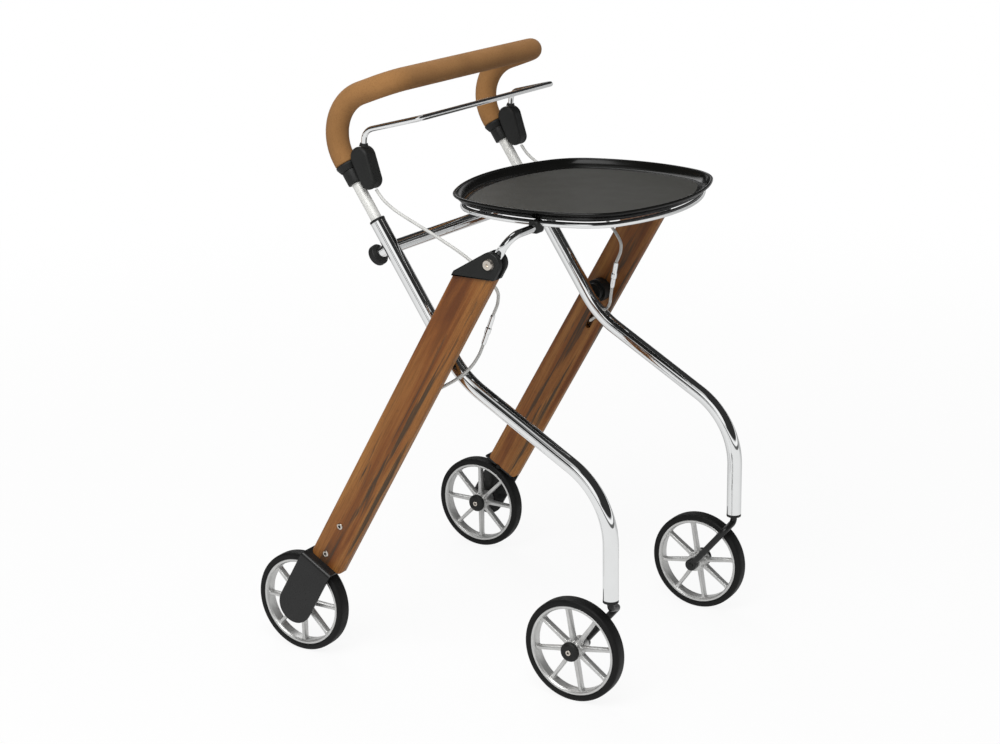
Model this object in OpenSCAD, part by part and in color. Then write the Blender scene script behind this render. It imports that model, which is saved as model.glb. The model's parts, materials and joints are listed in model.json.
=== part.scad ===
// Indoor walker: a folding frame of bent tubes and wooden legs on four wheels,
// with a telescopic handle, a brake lever and a lift-off tray. Millimetres.
// +Z is up, the front is -Y, the user stands at +Y, and X = 0 is the middle plane.
// The origin lies on the floor, midway between the front and the rear axles.
// Pieces that come in pairs are drawn on the left (+X) and mirrored to the right.

/* [Wheels] */
// Diameter over the tyre
wheel_d = 150; // [140:1:160]
// Width of the tyre
tyre_w = 21; // [19:0.5:25]
// Thickness of the tyre from tread to rim
tyre_h = 9.5; // [8:0.5:12]
// Radius of the tyre's shoulders
tyre_shoulder_r = 4; // [3:0.5:6]
// Width of the rim's barrel
rim_w = 19; // [16:0.5:19]
// Wall of the rim's barrel
rim_wall = 5; // [3:0.5:6]
// Number of spokes
spoke_count = 8; // [6:1:10]
// Width of a spoke at the hub
spoke_w_hub = 6.5; // [5:0.5:9]
// Width of a spoke at the rim
spoke_w_rim = 5; // [4:0.5:7]
// Thickness of a spoke along the axle
spoke_t = 10; // [7:0.5:12]
// How far the middle of the spokes lies from the mid plane, towards the carried side
spoke_set = 1; // [0:0.5:3]
// Turn of the front wheels' spokes at rest
front_spoke_turn = 10; // [0:1:44]
// Diameter of the hub
hub_d = 26; // [22:1:30]
// Diameter of the black hub cap
hub_cap_d = 28; // [26:0.2:30]
// Reach of the hub's free end from the wheel's mid plane
hub_face = 11; // [9:0.5:12]
// Reach of the hub cap from the wheel's mid plane
hub_cap_reach = 18; // [16:0.5:20]
// Diameter of an axle
axle_d = 8; // [6:0.5:10]
// Distance between the front and rear axles
wheelbase = 431; // [415:1:445]
// Distance between the mid planes of the rear wheels
rear_track = 476; // [470:1:490]

/* [Front tubes] */
// Distance between the planes of the two front tubes
tube_track = 378; // [366:1:386]
// Outer diameter of a front tube
tube_d = 22; // [20:0.5:24]
// Wall of a front tube
tube_wall = 1.5; // [1:0.1:1.5]
// Height of a front tube's top end
tube_top_z = 646; // [630:1:660]
// Place of that end behind the origin
tube_top_y = 96.5; // [90:0.5:104]
// Lean of the upper stretch, from the floor
tube_lean = 56.6; // [54:0.1:59]
// Lean of the middle stretch, from the floor
slope_lean = 29.6; // [27:0.1:32]
// Height of the corner between the two
shoulder_z = 441; // [425:1:450]
// Bend radius at that corner
shoulder_r = 140; // [110:5:150]
// Bend radius above the caster
knee_r = 120; // [90:5:130]
// Height of a front tube's lower end
tube_foot_z = 161; // [157:0.5:175]
// Distance that a caster's wheel trails behind its stem
caster_trail = 57.5; // [54:0.5:60]
// Outer diameter of the crossbar
crossbar_d = 18; // [16:0.5:18]
// Wall of the crossbar
crossbar_wall = 1.5; // [1:0.1:2]
// Distance of the crossbar below the tubes' top ends, along the tubes
crossbar_drop = 41; // [38:0.5:60]
// How far the crossbar sits in front of the tubes' middles
crossbar_front = 2; // [0:0.5:2]

/* [Handle] */
// Outer diameter of the handle tube
handle_d = 16; // [14:0.5:17]
// Wall of the handle tube
handle_wall = 1.5; // [1:0.1:2]
// Length of the handle tube inside each front tube
handle_hidden = 130; // [110:1:140]
// Diameter of the foam grip
grip_d = 32; // [28:0.5:36]
// Distance from a front tube's top to the grip, along the tube
grip_start = 91; // [88:0.5:94]
// Distance from a front tube's top to the corner above it
handle_corner = 178; // [175:0.5:190]
// Bend radius at that corner
handle_bend_r = 64; // [50:1:64]
// Rise of the handle's arms towards the front
arm_lean = 20.4; // [12:0.2:28]
// Length of an arm between its two corners
arm_l = 137; // [128:1:145]
// Bend radius from an arm into the cross grip
grip_bend_r = 29; // [24:1:46]
// Diameter of a height knob
knob_d = 30; // [24:0.5:34]
// Thickness of a height knob
knob_t = 13; // [9:0.5:16]
// Distance of the knobs below the tubes' top ends
knob_drop = 39; // [32:0.5:60]
// Diameter of a clamp screw
clamp_screw_d = 8; // [6:0.5:8]
// Reach of the boss behind the tube's middle
boss_reach = 20; // [16:0.5:24]

/* [Brake] */
// Diameter of the lever's rod
lever_d = 8; // [6:0.5:8]
// Height of the lever's elbow above its pin
lever_rise = 37; // [36:0.5:44]
// Lean of the lever's rod towards the front where it leaves its housing
lever_tilt = 6; // [0:0.5:8]
// Length of the lever's arms from the elbow to the bar
lever_reach = 88; // [75:1:95]
// How far each arm of the lever runs in towards the middle
lever_tuck = 18; // [10:0.5:24]
// Rise of the lever's arms towards the front
lever_lean = 14.5; // [10:0.1:20]
// Bend radius of the lever's rod
lever_bend_r = 17; // [10:0.5:18]
// Diameter of the lever's pins
lever_pin_d = 5; // [4:0.5:6]
// Distance of the lever's pins above the tubes' top ends
lever_pin_at = 86; // [83:0.5:90]
// Distance of the lever's pins in front of the tubes' middles
lever_pin_front = 31; // [29:0.5:34]
// Radius of the housing round the pin
housing_top_r = 15; // [14:0.5:16]
// Radius of the housing's lower end
housing_low_r = 12.5; // [11:0.5:13]
// Distance of the housing's lower end above the tubes' top ends
housing_low_at = 53; // [50:0.5:56]
// Distance of that end in front of the tubes' middles
housing_low_front = 24; // [23:0.5:27]
// Thickness of the housing
housing_t = 24; // [22:0.5:28]
// Diameter of the brake cable
cable_d = 4.5; // [4:0.5:5.5]
// Diameter of a brake pad
pad_d = 10; // [8:0.5:10]
// Travel of a brake pad to the tyre
pad_travel = 2.2; // [1.5:0.1:2.4]
// Diameter of the rod that guides a brake pad
pad_rod_d = 5; // [4:0.5:6]

/* [Wooden legs] */
// Width of a leg's plank
plank_w = 58; // [52:1:68]
// Thickness of a plank
plank_t = 16.5; // [16:0.5:20]
// Distance between the mid planes of the two planks
plank_track = 474; // [470:1:482]
// Lean of the planks from the floor
plank_lean = 60; // [58:0.5:62]
// How far a plank's middle passes in front of the rear axle
plank_set = 6; // [2:0.5:8]
// Radius of the plank's long edges
plank_edge_r = 5; // [2:0.5:6]
// Radius of the plank's lower corners
plank_corner_r = 7; // [3:0.5:10]
// Height at which the wood ends under its cap
cap_z = 602; // [590:1:608]
// Distance of the tray's bolt from the rear axle, along the plank
clevis_u = 645; // [640:1:655]
// How far that bolt lies in front of the plank's middle
clevis_front = 13; // [8:0.5:16]
// Radius of the cap's eye round the bolt
clevis_r = 16; // [14:0.5:18]
// How far the cap stands out beyond each face of the wood
cap_proud = 4; // [2:0.5:5]
// Diameter of the bolts at the pivots
bolt_d = 8; // [6:0.5:9]
// Diameter of the pivot's spacer at the plank
spacer_d = 36; // [28:0.5:38]
// Thickness of the wheel bracket's sheet
bracket_t = 3; // [2:0.5:3.5]
// Width of the wheel bracket
bracket_w = 56; // [50:1:60]
// Gap between the tyre and the bracket's flange
bracket_gap = 5; // [4:0.5:8]
// Gap between the tyre's side and the bracket's plate
bracket_side_gap = 9.5; // [8:0.5:11]
// Length of the bracket's tongue inside the plank
tongue_l = 88; // [80:1:100]

/* [Tray] */
// Half the width of the tray over its rim
tray_half_w = 186; // [178:1:192]
// Half the length of the tray over its rim
tray_half_l = 166; // [158:1:166]
// Radius of the outline at the tray's sides
tray_side_r = 260; // [230:5:300]
// Radius of the outline at the tray's front and back
tray_end_r = 290; // [250:5:330]
// Radius of the outline's corners
tray_corner_r = 88; // [80:1:110]
// Height of the rim above the floor that the walker stands on
tray_rim_z = 687; // [684:0.5:692]
// Depth of the tray
tray_depth = 12; // [10:0.5:15]
// Thickness of the tray's sheet
tray_t = 2.5; // [2:0.1:3]
// Radius between the tray's floor and its wall, outside
tray_fillet_r = 6; // [5:0.5:7]
// Flare of the wall from the vertical
tray_flare = 35; // [28:0.5:40]
// Radius of the rolled rim
tray_bead_r = 2.2; // [1.8:0.1:2.6]
// Diameter of the ring's rod
ring_d = 8; // [7:0.5:10]
// How far the ring lies inside the tray's outline
ring_inset = 14; // [13.5:0.5:20]
// Diameter of the arms that carry the ring
tray_arm_d = 12; // [10:0.5:13]
// Thickness of an arm's flattened eye
tray_eye_t = 8; // [6:0.5:9]

/* [Clearances] */
// Gap between pieces that are fixed together
seat_gap = 0.1; // [0.05:0.01:0.15]
// Radial gap between a shaft and its hole
run_gap = 0.05; // [0.03:0.01:0.09]
// Gap between pieces that move past each other
free_gap = 0.4; // [0.35:0.05:0.6]

/* [Hidden] */
$fn = 64;
FACETS = 32;
LONG = 400;
// A bend is thicker than its straight runs by this much, so that they lap into it
lap_step = 0.15;
lap_l = 0.4;

// Main places, worked out from the sizes above
wheel_r = wheel_d / 2;
rear_axle_y = wheelbase / 2;
front_axle_y = -wheelbase / 2;
rear_wheel_x = rear_track / 2;
tube_x = tube_track / 2;
stem_y = front_axle_y - caster_trail;
tube_r = tube_d / 2;
tube_bore_d = tube_d - 2 * tube_wall;
shoulder_y = tube_top_y - (tube_top_z - shoulder_z) / tan(tube_lean);
knee_z = shoulder_z - (shoulder_y - stem_y) * tan(slope_lean);
tube_up = [0, cos(tube_lean), sin(tube_lean)];
tube_fore = [0, -sin(tube_lean), cos(tube_lean)];
tube_top = [tube_x, tube_top_y, tube_top_z];
crossbar_r = crossbar_d / 2;
crossbar_at = tube_top - tube_up * crossbar_drop + tube_fore * crossbar_front;

// Plank: u runs up along it from the rear axle, v runs back across it
plank_x = plank_track / 2;
plank_in_x = plank_x - plank_t / 2;
plank_out_x = plank_x + plank_t / 2;
plank_up = [0, -cos(plank_lean), sin(plank_lean)];
plank_back = [0, sin(plank_lean), cos(plank_lean)];
plank_foot = [0, rear_axle_y, wheel_r] - plank_back * plank_set;
flange_u = wheel_r + bracket_gap;
plank_end_u = flange_u + bracket_t;
bracket_x = rear_wheel_x + tyre_w / 2 + bracket_side_gap;
hub_reach = tyre_w / 2 + bracket_side_gap - free_gap;
clevis = plank_foot + plank_up * clevis_u - plank_back * clevis_front;
clevis_y = clevis[1];
clevis_z = clevis[2];

// The scissor pivot lies where a tube's middle crosses a plank's middle
pivot_u = ((tube_top_y - plank_foot[1]) * tube_up[2] - (tube_top_z - plank_foot[2]) * tube_up[1])
    / (plank_up[1] * tube_up[2] - plank_up[2] * tube_up[1]);
pivot = plank_foot + plank_up * pivot_u;
spacer_in_x = tube_x + tube_r + free_gap;
spacer_flange_t = 18;
pivot_hole_l = 14;
bolt_head_d = 2 * bolt_d;
bolt_head_t = 4.5;
bolt_socket_d = 0.6 * bolt_d;

// Lever's pin and corners
lever_pin = tube_top + tube_up * lever_pin_at + tube_fore * lever_pin_front;
lever_elbow = lever_pin + lever_rise * [0, -sin(lever_tilt), cos(lever_tilt)];
lever_corner = lever_elbow + lever_reach * [0, -cos(lever_lean), sin(lever_lean)] - [lever_tuck, 0, 0];
lever_squeeze = 12;
lever_eye_r = 8;
lever_eye_t = lever_d + 2;
lever_slot_t = lever_eye_t + 2 * free_gap;
boot_low_d = 15;
boot_top_d = lever_d + 3;
boot_l = 4;
collar_l = 10;
sleeve_l = 20;
sleeve_d = handle_d + 9;

// Handle's corners
handle_elbow = tube_top + tube_up * handle_corner;
handle_bar = handle_elbow + arm_l * [0, -cos(arm_lean), sin(arm_lean)];
guide_l = 25;
guide_rim_t = 3.5;
bush_rim_t = 4;
bush_l = 26;

// Caster fork: a bent rod that passes inside the wheel
stem_d = 10;
fork_x = tube_x - tyre_w / 2 - bracket_side_gap - stem_d / 2;
fork_neck_z = tube_foot_z - bush_rim_t - 10;
fork_side = [fork_x, stem_y + 3, fork_neck_z - 7];
fork_eye_r = 9;
fork_bend_r = 8;

// Tray and ring
tray_y = clevis_y - 1;
tray_floor_z = tray_rim_z - tray_depth - tray_t;
ring_z = tray_floor_z - free_gap - lap_step - ring_d / 2;
tray_wall_l = (tray_depth + tray_t - tray_bead_r - tray_fillet_r * (1 - sin(tray_flare))) / cos(tray_flare);
tray_floor_inset = tray_fillet_r * cos(tray_flare) + tray_wall_l * sin(tray_flare) + tray_bead_r / 2;
side_centre_x = tray_half_w - tray_side_r;
end_centre_y = tray_half_l - tray_end_r;
corner_centre = circle_meeting([side_centre_x, 0], tray_side_r - tray_corner_r,
    [0, end_centre_y], tray_end_r - tray_corner_r);
corner_start = atan2(corner_centre[1], corner_centre[0] - side_centre_x);
corner_end = atan2(corner_centre[1] - end_centre_y, corner_centre[0]);
// Each arc of the outline: its centre, its radius, its first angle and its sweep
tray_arcs = [
    [[side_centre_x, 0], tray_side_r, -corner_start, 2 * corner_start],
    [corner_centre, tray_corner_r, corner_start, corner_end - corner_start],
    [[0, end_centre_y], tray_end_r, corner_end, 180 - 2 * corner_end],
    [flip_x(corner_centre), tray_corner_r, 180 - corner_end, corner_end - corner_start],
    [[-side_centre_x, 0], tray_side_r, 180 - corner_start, 2 * corner_start],
    [-corner_centre, tray_corner_r, 180 + corner_start, corner_end - corner_start],
    [[0, -end_centre_y], tray_end_r, 180 + corner_end, 180 - 2 * corner_end],
    [-flip_x(corner_centre), tray_corner_r, -corner_end, corner_end - corner_start]
];
tray_eye_lean = 56;
tray_swing = 66;
tray_eye_r = 9;
tray_arm_z = ring_z - ring_d / 2 - lap_step - tray_arm_d / 2 - seat_gap;
tray_arm_bend_r = 22;
tray_arm_past = 8;
tray_arm_elbow = [plank_x, clevis_y - (tray_arm_z - clevis_z) / tan(tray_eye_lean), tray_arm_z];
// The arm crosses under the ring's side, and a clip holds the two together there
ring_side_r = tray_side_r - ring_inset;
clip_at = [side_centre_x + sqrt(ring_side_r * ring_side_r - pow(tray_arm_elbow[1] - tray_y, 2)),
    tray_arm_elbow[1], tray_arm_z];
tray_arm_path = [
    clevis + [plank_x, 0, 0] + (clevis_r + 2 * free_gap) * [0, -cos(tray_eye_lean), sin(tray_eye_lean)],
    tray_arm_elbow, clip_at - [tray_arm_past, 0, 0]
];
clip_l = 2 * tray_arm_d;
clip_wall = 2.5;

// Cable: from the lever's housing to its adjuster, and on into a slot of the plank
cable_sides = 10;
cable_steps = 3;
tube_pivot = [tube_x, pivot[1], pivot[2]];
upper_route = concat(
    [for (step = [[0, 1.5, 45], [0, -10.7, 31.4], [0, -32, 17.7], [-2, -68, 0.8], [-5, -94.2, -12],
        [-12, -141.9, -39.8]]) tube_top + step],
    [for (step = [[-18, -62.5, 101.4], [-18, -67.3, 82.3], [-18, -59.5, 61.9]]) tube_pivot + step]
);
lower_route = [for (step = [[-10, -47.5, 19.9], [-5, -42.5, 3.9], [5, -34.5, -12.1], [17, -18.5, -28.1],
    [29, 1.5, -41.1], [42, 20.5, -54.1]]) tube_pivot + step];
adjuster_top = upper_route[len(upper_route) - 1];
adjuster_low = lower_route[0];
adjuster_d = 6.8;
adjuster_nut_d = 8.4;
slot_l = 34;
slot_w = 9;
slot_v = -10.5;
slot_depth = 10;
slot_u = 4 + plank_up * (lower_route[len(lower_route) - 1] - plank_foot);

// Shapes and places shared by several pieces

function unit(v) = v / norm(v);
function flip_x(p) = [-p[0], p[1]];
function left_to_right(p) = [-p[0], p[1], p[2]];

// The upper meeting point of two circles, from their centres and radii
function circle_meeting(c1, r1, c2, r2) =
    let (
        apart = norm(c2 - c1),
        axis = (c2 - c1) / apart,
        foot = (r1 * r1 - r2 * r2 + apart * apart) / (2 * apart),
        rise = sqrt(r1 * r1 - foot * foot)
    ) c1 + axis * foot + [-axis[1], axis[0]] * -rise * sign(axis[0] * -1);

// A placing with its own x, y and z directions
function placing(x, y, z, at) = [
    [x[0], y[0], z[0], at[0]], [x[1], y[1], z[1], at[1]], [x[2], y[2], z[2], at[2]], [0, 0, 0, 1]
];

// A placing at a point whose z axis runs along a direction
function looking_along(at, dir) =
    let (
        z = unit(dir),
        side = abs(z[0]) < 0.9 ? [1, 0, 0] : [0, 1, 0],
        y = unit(cross(z, side))
    ) placing(cross(y, z), y, z, at);

function bend_angle(a, b, c) = acos(unit(b - a) * unit(c - b));
function bend_cut(p, radii, i) =
    i == 0 || i == len(p) - 1 ? 0 : radii[i - 1] * tan(bend_angle(p[i - 1], p[i], p[i + 1]) / 2);

// Ring or disc from which tubes and rods are made
module pipe_outline(outer_d, inner_d) {
    difference() {
        circle(d = outer_d);
        if (inner_d > 0) circle(d = inner_d);
    }
}

// A tube (or a rod, with no inner_d) of straight runs joined by bends of the given radii
module bent_run(p, radii, outer_d, inner_d = 0) {
    last = len(p) - 1;
    for (i = [0 : last - 1]) {
        dir = unit(p[i + 1] - p[i]);
        from = p[i] + dir * (bend_cut(p, radii, i) - (i > 0 ? lap_l : 0));
        to = p[i + 1] - dir * (bend_cut(p, radii, i + 1) - (i < last - 1 ? lap_l : 0));
        multmatrix(looking_along(from, dir)) linear_extrude(norm(to - from))
            pipe_outline(outer_d, inner_d > 0 ? inner_d + 2 * lap_step : 0);
    }
    for (i = [1 : last - 1]) {
        dir = unit(p[i] - p[i - 1]);
        next = unit(p[i + 1] - p[i]);
        inward = unit(next - dir * (dir * next));
        from = p[i] - dir * bend_cut(p, radii, i);
        multmatrix(placing(-inward, dir, cross(-inward, dir), from + inward * radii[i - 1]))
            rotate_extrude(angle = bend_angle(p[i - 1], p[i], p[i + 1]))
                translate([radii[i - 1], 0]) pipe_outline(outer_d + 2 * lap_step, inner_d);
    }
}

// A rod along X between two places
module cross_rod(x1, x2, y, z, d) {
    translate([x1, y, z]) rotate([0, 90, 0]) cylinder(d = d, h = x2 - x1);
}

// Thickens an outline drawn in the Y-Z plane, from x1 to x2
module side_slab(x1, x2) {
    translate([x1, 0, 0]) rotate([90, 0, 90]) linear_extrude(x2 - x1) children();
}

module on_left() {
    children();
}

module on_right() {
    mirror([1, 0, 0]) children();
}

module on_both() {
    on_left() children();
    on_right() children();
}

// Left tube's own frame: z up along it from its top end, y to its back
module at_tube() {
    translate(tube_top) rotate([tube_lean - 90, 0, 0]) children();
}

// Left plank's own frame: z up along it from the rear axle, y to its back
module at_plank() {
    translate(plank_foot) rotate([90 - plank_lean, 0, 0]) children();
}

// Wheel's own frame: z along the axle, away from what carries the wheel
module at_rear_wheel() {
    translate([rear_wheel_x, rear_axle_y, wheel_r]) rotate([0, -90, 0]) children();
}

module at_front_wheel() {
    translate([tube_x, front_axle_y, wheel_r]) rotate([0, 90, 0]) rotate(-front_spoke_turn) children();
}

// Carries an outline round the tray: x is measured outwards from the tray's outline
module round_tray() {
    for (arc = tray_arcs)
        translate([arc[0][0], tray_y + arc[0][1], 0]) rotate([0, 0, arc[2]])
            rotate_extrude(angle = arc[3]) translate([arc[1], 0]) children();
}

module tray_outline(inset) {
    polygon([for (arc = tray_arcs) arc[0] + (arc[1] - inset) * [cos(arc[2]), sin(arc[2])]]);
    for (arc = tray_arcs)
        translate(arc[0]) rotate(arc[2]) intersection() {
            circle(r = arc[1] - inset);
            polygon([[0, 0], [2 * arc[1], 0], 2 * arc[1] * [cos(arc[3]), sin(arc[3])]]);
        }
}

// Catmull-Rom point between p1 and p2
function curve_point(p0, p1, p2, p3, t) =
    0.5 * (2 * p1 + (p2 - p0) * t + (2 * p0 - 5 * p1 + 4 * p2 - p3) * t * t
        + (3 * p1 - p0 - 3 * p2 + p3) * t * t * t);
function smooth_route(p, steps) =
    let (last = len(p) - 1)
    concat([for (i = [0 : last - 1], k = [0 : steps - 1])
        curve_point(p[max(i - 1, 0)], p[i], p[i + 1], p[min(i + 2, last)], k / steps)], [p[last]]);

// A round cable swept along a route as one closed skin
module cable(route, d, sides, steps) {
    p = smooth_route(route, steps);
    last = len(p) - 1;
    rings = [for (i = [0 : last])
        let (
            dir = unit(p[min(i + 1, last)] - p[max(i - 1, 0)]),
            up = unit(cross([1, 0, 0], dir)),
            out = cross(dir, up)
        )
        for (k = [0 : sides - 1]) p[i] + d / 2 * (cos(360 * k / sides) * out + sin(360 * k / sides) * up)];
    skin = [for (i = [0 : last - 1], k = [0 : sides - 1])
        let (a = i * sides + k, b = i * sides + (k + 1) % sides)
        for (f = [[a, b + sides, b], [a, a + sides, b + sides]]) f];
    first_cap = [for (k = [1 : sides - 2]) [0, k, k + 1]];
    last_cap = [for (k = [1 : sides - 2]) [last * sides, last * sides + k + 1, last * sides + k]];
    polyhedron(rings, concat(skin, first_cap, last_cap));
}

// Front frame

module front_tube() color("gainsboro") difference() {
    bent_run([tube_top, [tube_x, shoulder_y, shoulder_z], [tube_x, stem_y, knee_z],
        [tube_x, stem_y, tube_foot_z]], [shoulder_r, knee_r], tube_d, tube_bore_d);
    cross_rod(tube_x, tube_x + tube_d, pivot[1], pivot[2], bolt_d + 2 * seat_gap);
    at_tube() translate([0, 0, -knob_drop]) rotate([-90, 0, 0])
        cylinder(d = clamp_screw_d + 2 * free_gap, h = tube_d);
}

module crossbar() color("gainsboro") difference() {
    side_slab(-tube_x, tube_x) translate([crossbar_at[1], crossbar_at[2]])
        pipe_outline(crossbar_d, crossbar_d - 2 * crossbar_wall);
    on_both() at_tube() translate([0, 0, -crossbar_drop])
        cylinder(d = tube_d + 2 * seat_gap, h = 2 * crossbar_d + LONG / 4, center = true);
}

// Black guide at the top of each tube, in which the handle tube slides
module tube_collar() color("dimgray") at_tube() rotate_extrude() {
    bore = handle_d / 2 + run_gap;
    translate([bore, 0]) square([tube_r + 0.2 - bore, guide_rim_t]);
    translate([bore, -guide_l]) square([tube_bore_d / 2 - seat_gap - bore, guide_l]);
}

// Black bush at the foot of each tube, in which the caster's stem turns
module caster_bush() color("dimgray") translate([tube_x, stem_y, tube_foot_z]) rotate_extrude() {
    bore = stem_d / 2 + run_gap;
    translate([bore, -bush_rim_t]) square([tube_r - bore, bush_rim_t]);
    translate([bore, 0]) square([tube_bore_d / 2 - seat_gap - bore, bush_l]);
}

module clamp_boss() color("silver") at_tube() translate([0, 0, -knob_drop]) difference() {
    rotate([-90, 0, 0]) cylinder(d = clamp_screw_d + 8, h = boss_reach);
    cylinder(d = tube_d + 2 * seat_gap, h = LONG, center = true);
    rotate([-90, 0, 0]) cylinder(d = clamp_screw_d + 2 * run_gap, h = LONG / 4);
}

// Stud of the scissor, from inside the tube into the plank
module pivot_bolt() color("silver")
    cross_rod(tube_x, plank_in_x + pivot_hole_l - 1, pivot[1], pivot[2], bolt_d);

module cable_adjuster() color("silver") {
    run = adjuster_low - adjuster_top;
    length = norm(run);
    multmatrix(looking_along(adjuster_top, run)) rotate_extrude()
        polygon([
            [0, 0.7], [cable_d / 2 + 0.6, 0.7], [adjuster_d / 2, 3], [adjuster_d / 2, length * 0.42],
            [adjuster_nut_d / 2, length * 0.46], [adjuster_nut_d / 2, length * 0.62],
            [adjuster_d / 2, length * 0.66], [adjuster_d / 2, length - 3],
            [cable_d / 2 + 0.6, length - 0.3], [0, length - 0.3]
        ]);
}

module upper_cable() color("darkgray") cable(upper_route, cable_d, cable_sides, cable_steps);

module lower_cable() color("darkgray") cable(lower_route, cable_d, cable_sides, cable_steps);

module height_knob() color("dimgray") at_tube() translate([0, 0, -knob_drop]) rotate([-90, 0, 0])
    rotate_extrude() polygon([
        [0, handle_d / 2 + free_gap], [clamp_screw_d / 2, handle_d / 2 + free_gap],
        [clamp_screw_d / 2, boss_reach + free_gap], [knob_d / 2 - 6, boss_reach + free_gap],
        [knob_d / 2, boss_reach + 3], [knob_d / 2, boss_reach + knob_t - 3],
        [knob_d / 2 - 3, boss_reach + knob_t], [0, boss_reach + knob_t]
    ]);

// Handle

module handle_tube() color("lightgray")
    bent_run([tube_top - tube_up * handle_hidden, handle_elbow, handle_bar, left_to_right(handle_bar),
        left_to_right(handle_elbow), left_to_right(tube_top - tube_up * handle_hidden)],
        [handle_bend_r, grip_bend_r, grip_bend_r, handle_bend_r], handle_d, handle_d - 2 * handle_wall);

module handle_grip() color("peru")
    bent_run([tube_top + tube_up * grip_start, handle_elbow, handle_bar, left_to_right(handle_bar),
        left_to_right(handle_elbow), left_to_right(tube_top + tube_up * grip_start)],
        [handle_bend_r, grip_bend_r, grip_bend_r, handle_bend_r], grip_d, handle_d + 2 * (seat_gap + lap_step));

module grip_collar() color("dimgray") at_tube() rotate_extrude() {
    bore = handle_d / 2 + seat_gap;
    translate([0, grip_start - seat_gap]) polygon([
        [bore, 0], [grip_d / 2 + 0.5, 0], [grip_d / 2 + 0.5, 2.5 - collar_l], [sleeve_d / 2 + 1, -collar_l],
        [bore, -collar_l]
    ]);
}

// Housing of the lever's joint: a sleeve on the handle tube and a block in front of it
module lever_housing() {
    sleeve_top = grip_start - collar_l - 2 * seat_gap;
    color("dimgray") difference() {
        union() {
            at_tube() translate([0, 0, sleeve_top - sleeve_l]) cylinder(d = sleeve_d, h = sleeve_l);
            at_tube() hull() for (edge = [[0, 8], [4, 0]]) {
                side = housing_t - edge[1];
                cross_rod(-side / 2, side / 2, -lever_pin_front, lever_pin_at, 2 * (housing_top_r - edge[0]), $fn = FACETS);
                cross_rod(-side / 2, side / 2, -housing_low_front, housing_low_at, 2 * (housing_low_r - edge[0]), $fn = FACETS);
            }
        }
        at_tube() cylinder(d = handle_d + 2 * seat_gap, h = LONG);
        at_tube() translate([0, 0, sleeve_top]) cylinder(d = grip_d + 2 * free_gap + 2, h = LONG / 4);
        translate(lever_pin) {
            cross_rod(-lever_slot_t / 2, lever_slot_t / 2, 0, 0, 2 * (lever_eye_r + free_gap));
            cross_rod(-housing_t / 2 + 2, housing_t / 2 - 2, 0, 0, lever_pin_d + 2 * seat_gap);
            side_slab(-lever_slot_t / 2, lever_slot_t / 2) polygon([
                [-lever_d / 2 - free_gap, 0], [lever_d / 2 + free_gap, 0],
                [lever_d / 2 + 2 * free_gap + 2 * housing_top_r * tan(lever_squeeze), 2 * housing_top_r],
                [-lever_d / 2 - 2 * free_gap - 2 * housing_top_r * tan(lever_tilt), 2 * housing_top_r]
            ]);
        }
        at_tube() translate([0, -housing_low_front, housing_low_at - housing_low_r - 1])
            cylinder(d = cable_d + 1, h = 7);
    }
}

module lever_pin() color("silver") translate(lever_pin)
    cross_rod(-housing_t / 2 + 2, housing_t / 2 - 2, 0, 0, lever_pin_d);

// Brake lever: one bent rod from housing to housing

module lever_bar() color("gainsboro") difference() {
    union() {
        bent_run([lever_pin, lever_elbow, lever_corner, left_to_right(lever_corner),
            left_to_right(lever_elbow), left_to_right(lever_pin)],
            [lever_bend_r, lever_bend_r, lever_bend_r, lever_bend_r], lever_d);
        on_both() translate(lever_pin) cross_rod(-lever_eye_t / 2, lever_eye_t / 2, 0, 0, 2 * lever_eye_r);
    }
    on_both() translate(lever_pin) cross_rod(-lever_eye_t, lever_eye_t, 0, 0, lever_pin_d + 2 * run_gap);
}

// Black boot on the rod that covers the slot in the housing
module lever_boot() color("dimgray") difference() {
    translate(lever_pin) rotate([lever_tilt, 0, 0]) difference() {
        translate([0, 0, housing_top_r - 4]) cylinder(d1 = boot_low_d, d2 = boot_top_d, h = boot_l + 4);
        cylinder(d = lever_d + 2 * seat_gap, h = LONG / 4);
    }
    translate(lever_pin) cross_rod(-housing_t, housing_t, 0, 0, 2 * (housing_top_r + free_gap));
}

// Wooden legs

module plank_side() {
    length = clevis_u - plank_end_u;
    translate([-plank_w / 2, plank_end_u + plank_corner_r]) square([plank_w, length]);
    translate([plank_corner_r - plank_w / 2, plank_end_u]) square([plank_w - 2 * plank_corner_r, length]);
    for (side = [-1, 1])
        translate([side * (plank_w / 2 - plank_corner_r), plank_end_u + plank_corner_r])
            circle(r = plank_corner_r);
}

module plank_section() {
    square([plank_t - 2 * plank_edge_r, plank_w], center = true);
    square([plank_t, plank_w - 2 * plank_edge_r], center = true);
    for (x = [-1, 1], y = [-1, 1])
        translate([x * (plank_t / 2 - plank_edge_r), y * (plank_w / 2 - plank_edge_r)])
            circle(r = plank_edge_r);
}

tongue_t = bracket_t;
tongue_w = 40;
tongue_x = plank_out_x - 3 - tongue_t;
pad_x = plank_in_x + pad_d / 2 - 0.8;
pad_l = bracket_t + 3;
pad_low_u = wheel_r + pad_travel + free_gap;
pad_rod_l = 36;
screw_d = 5;
screw_head_d = 10;
screw_head_t = 1.6;
screw_past = 0.36 * screw_d;
screw_us = [plank_end_u + 0.16 * tongue_l, plank_end_u + 0.78 * tongue_l];

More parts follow.
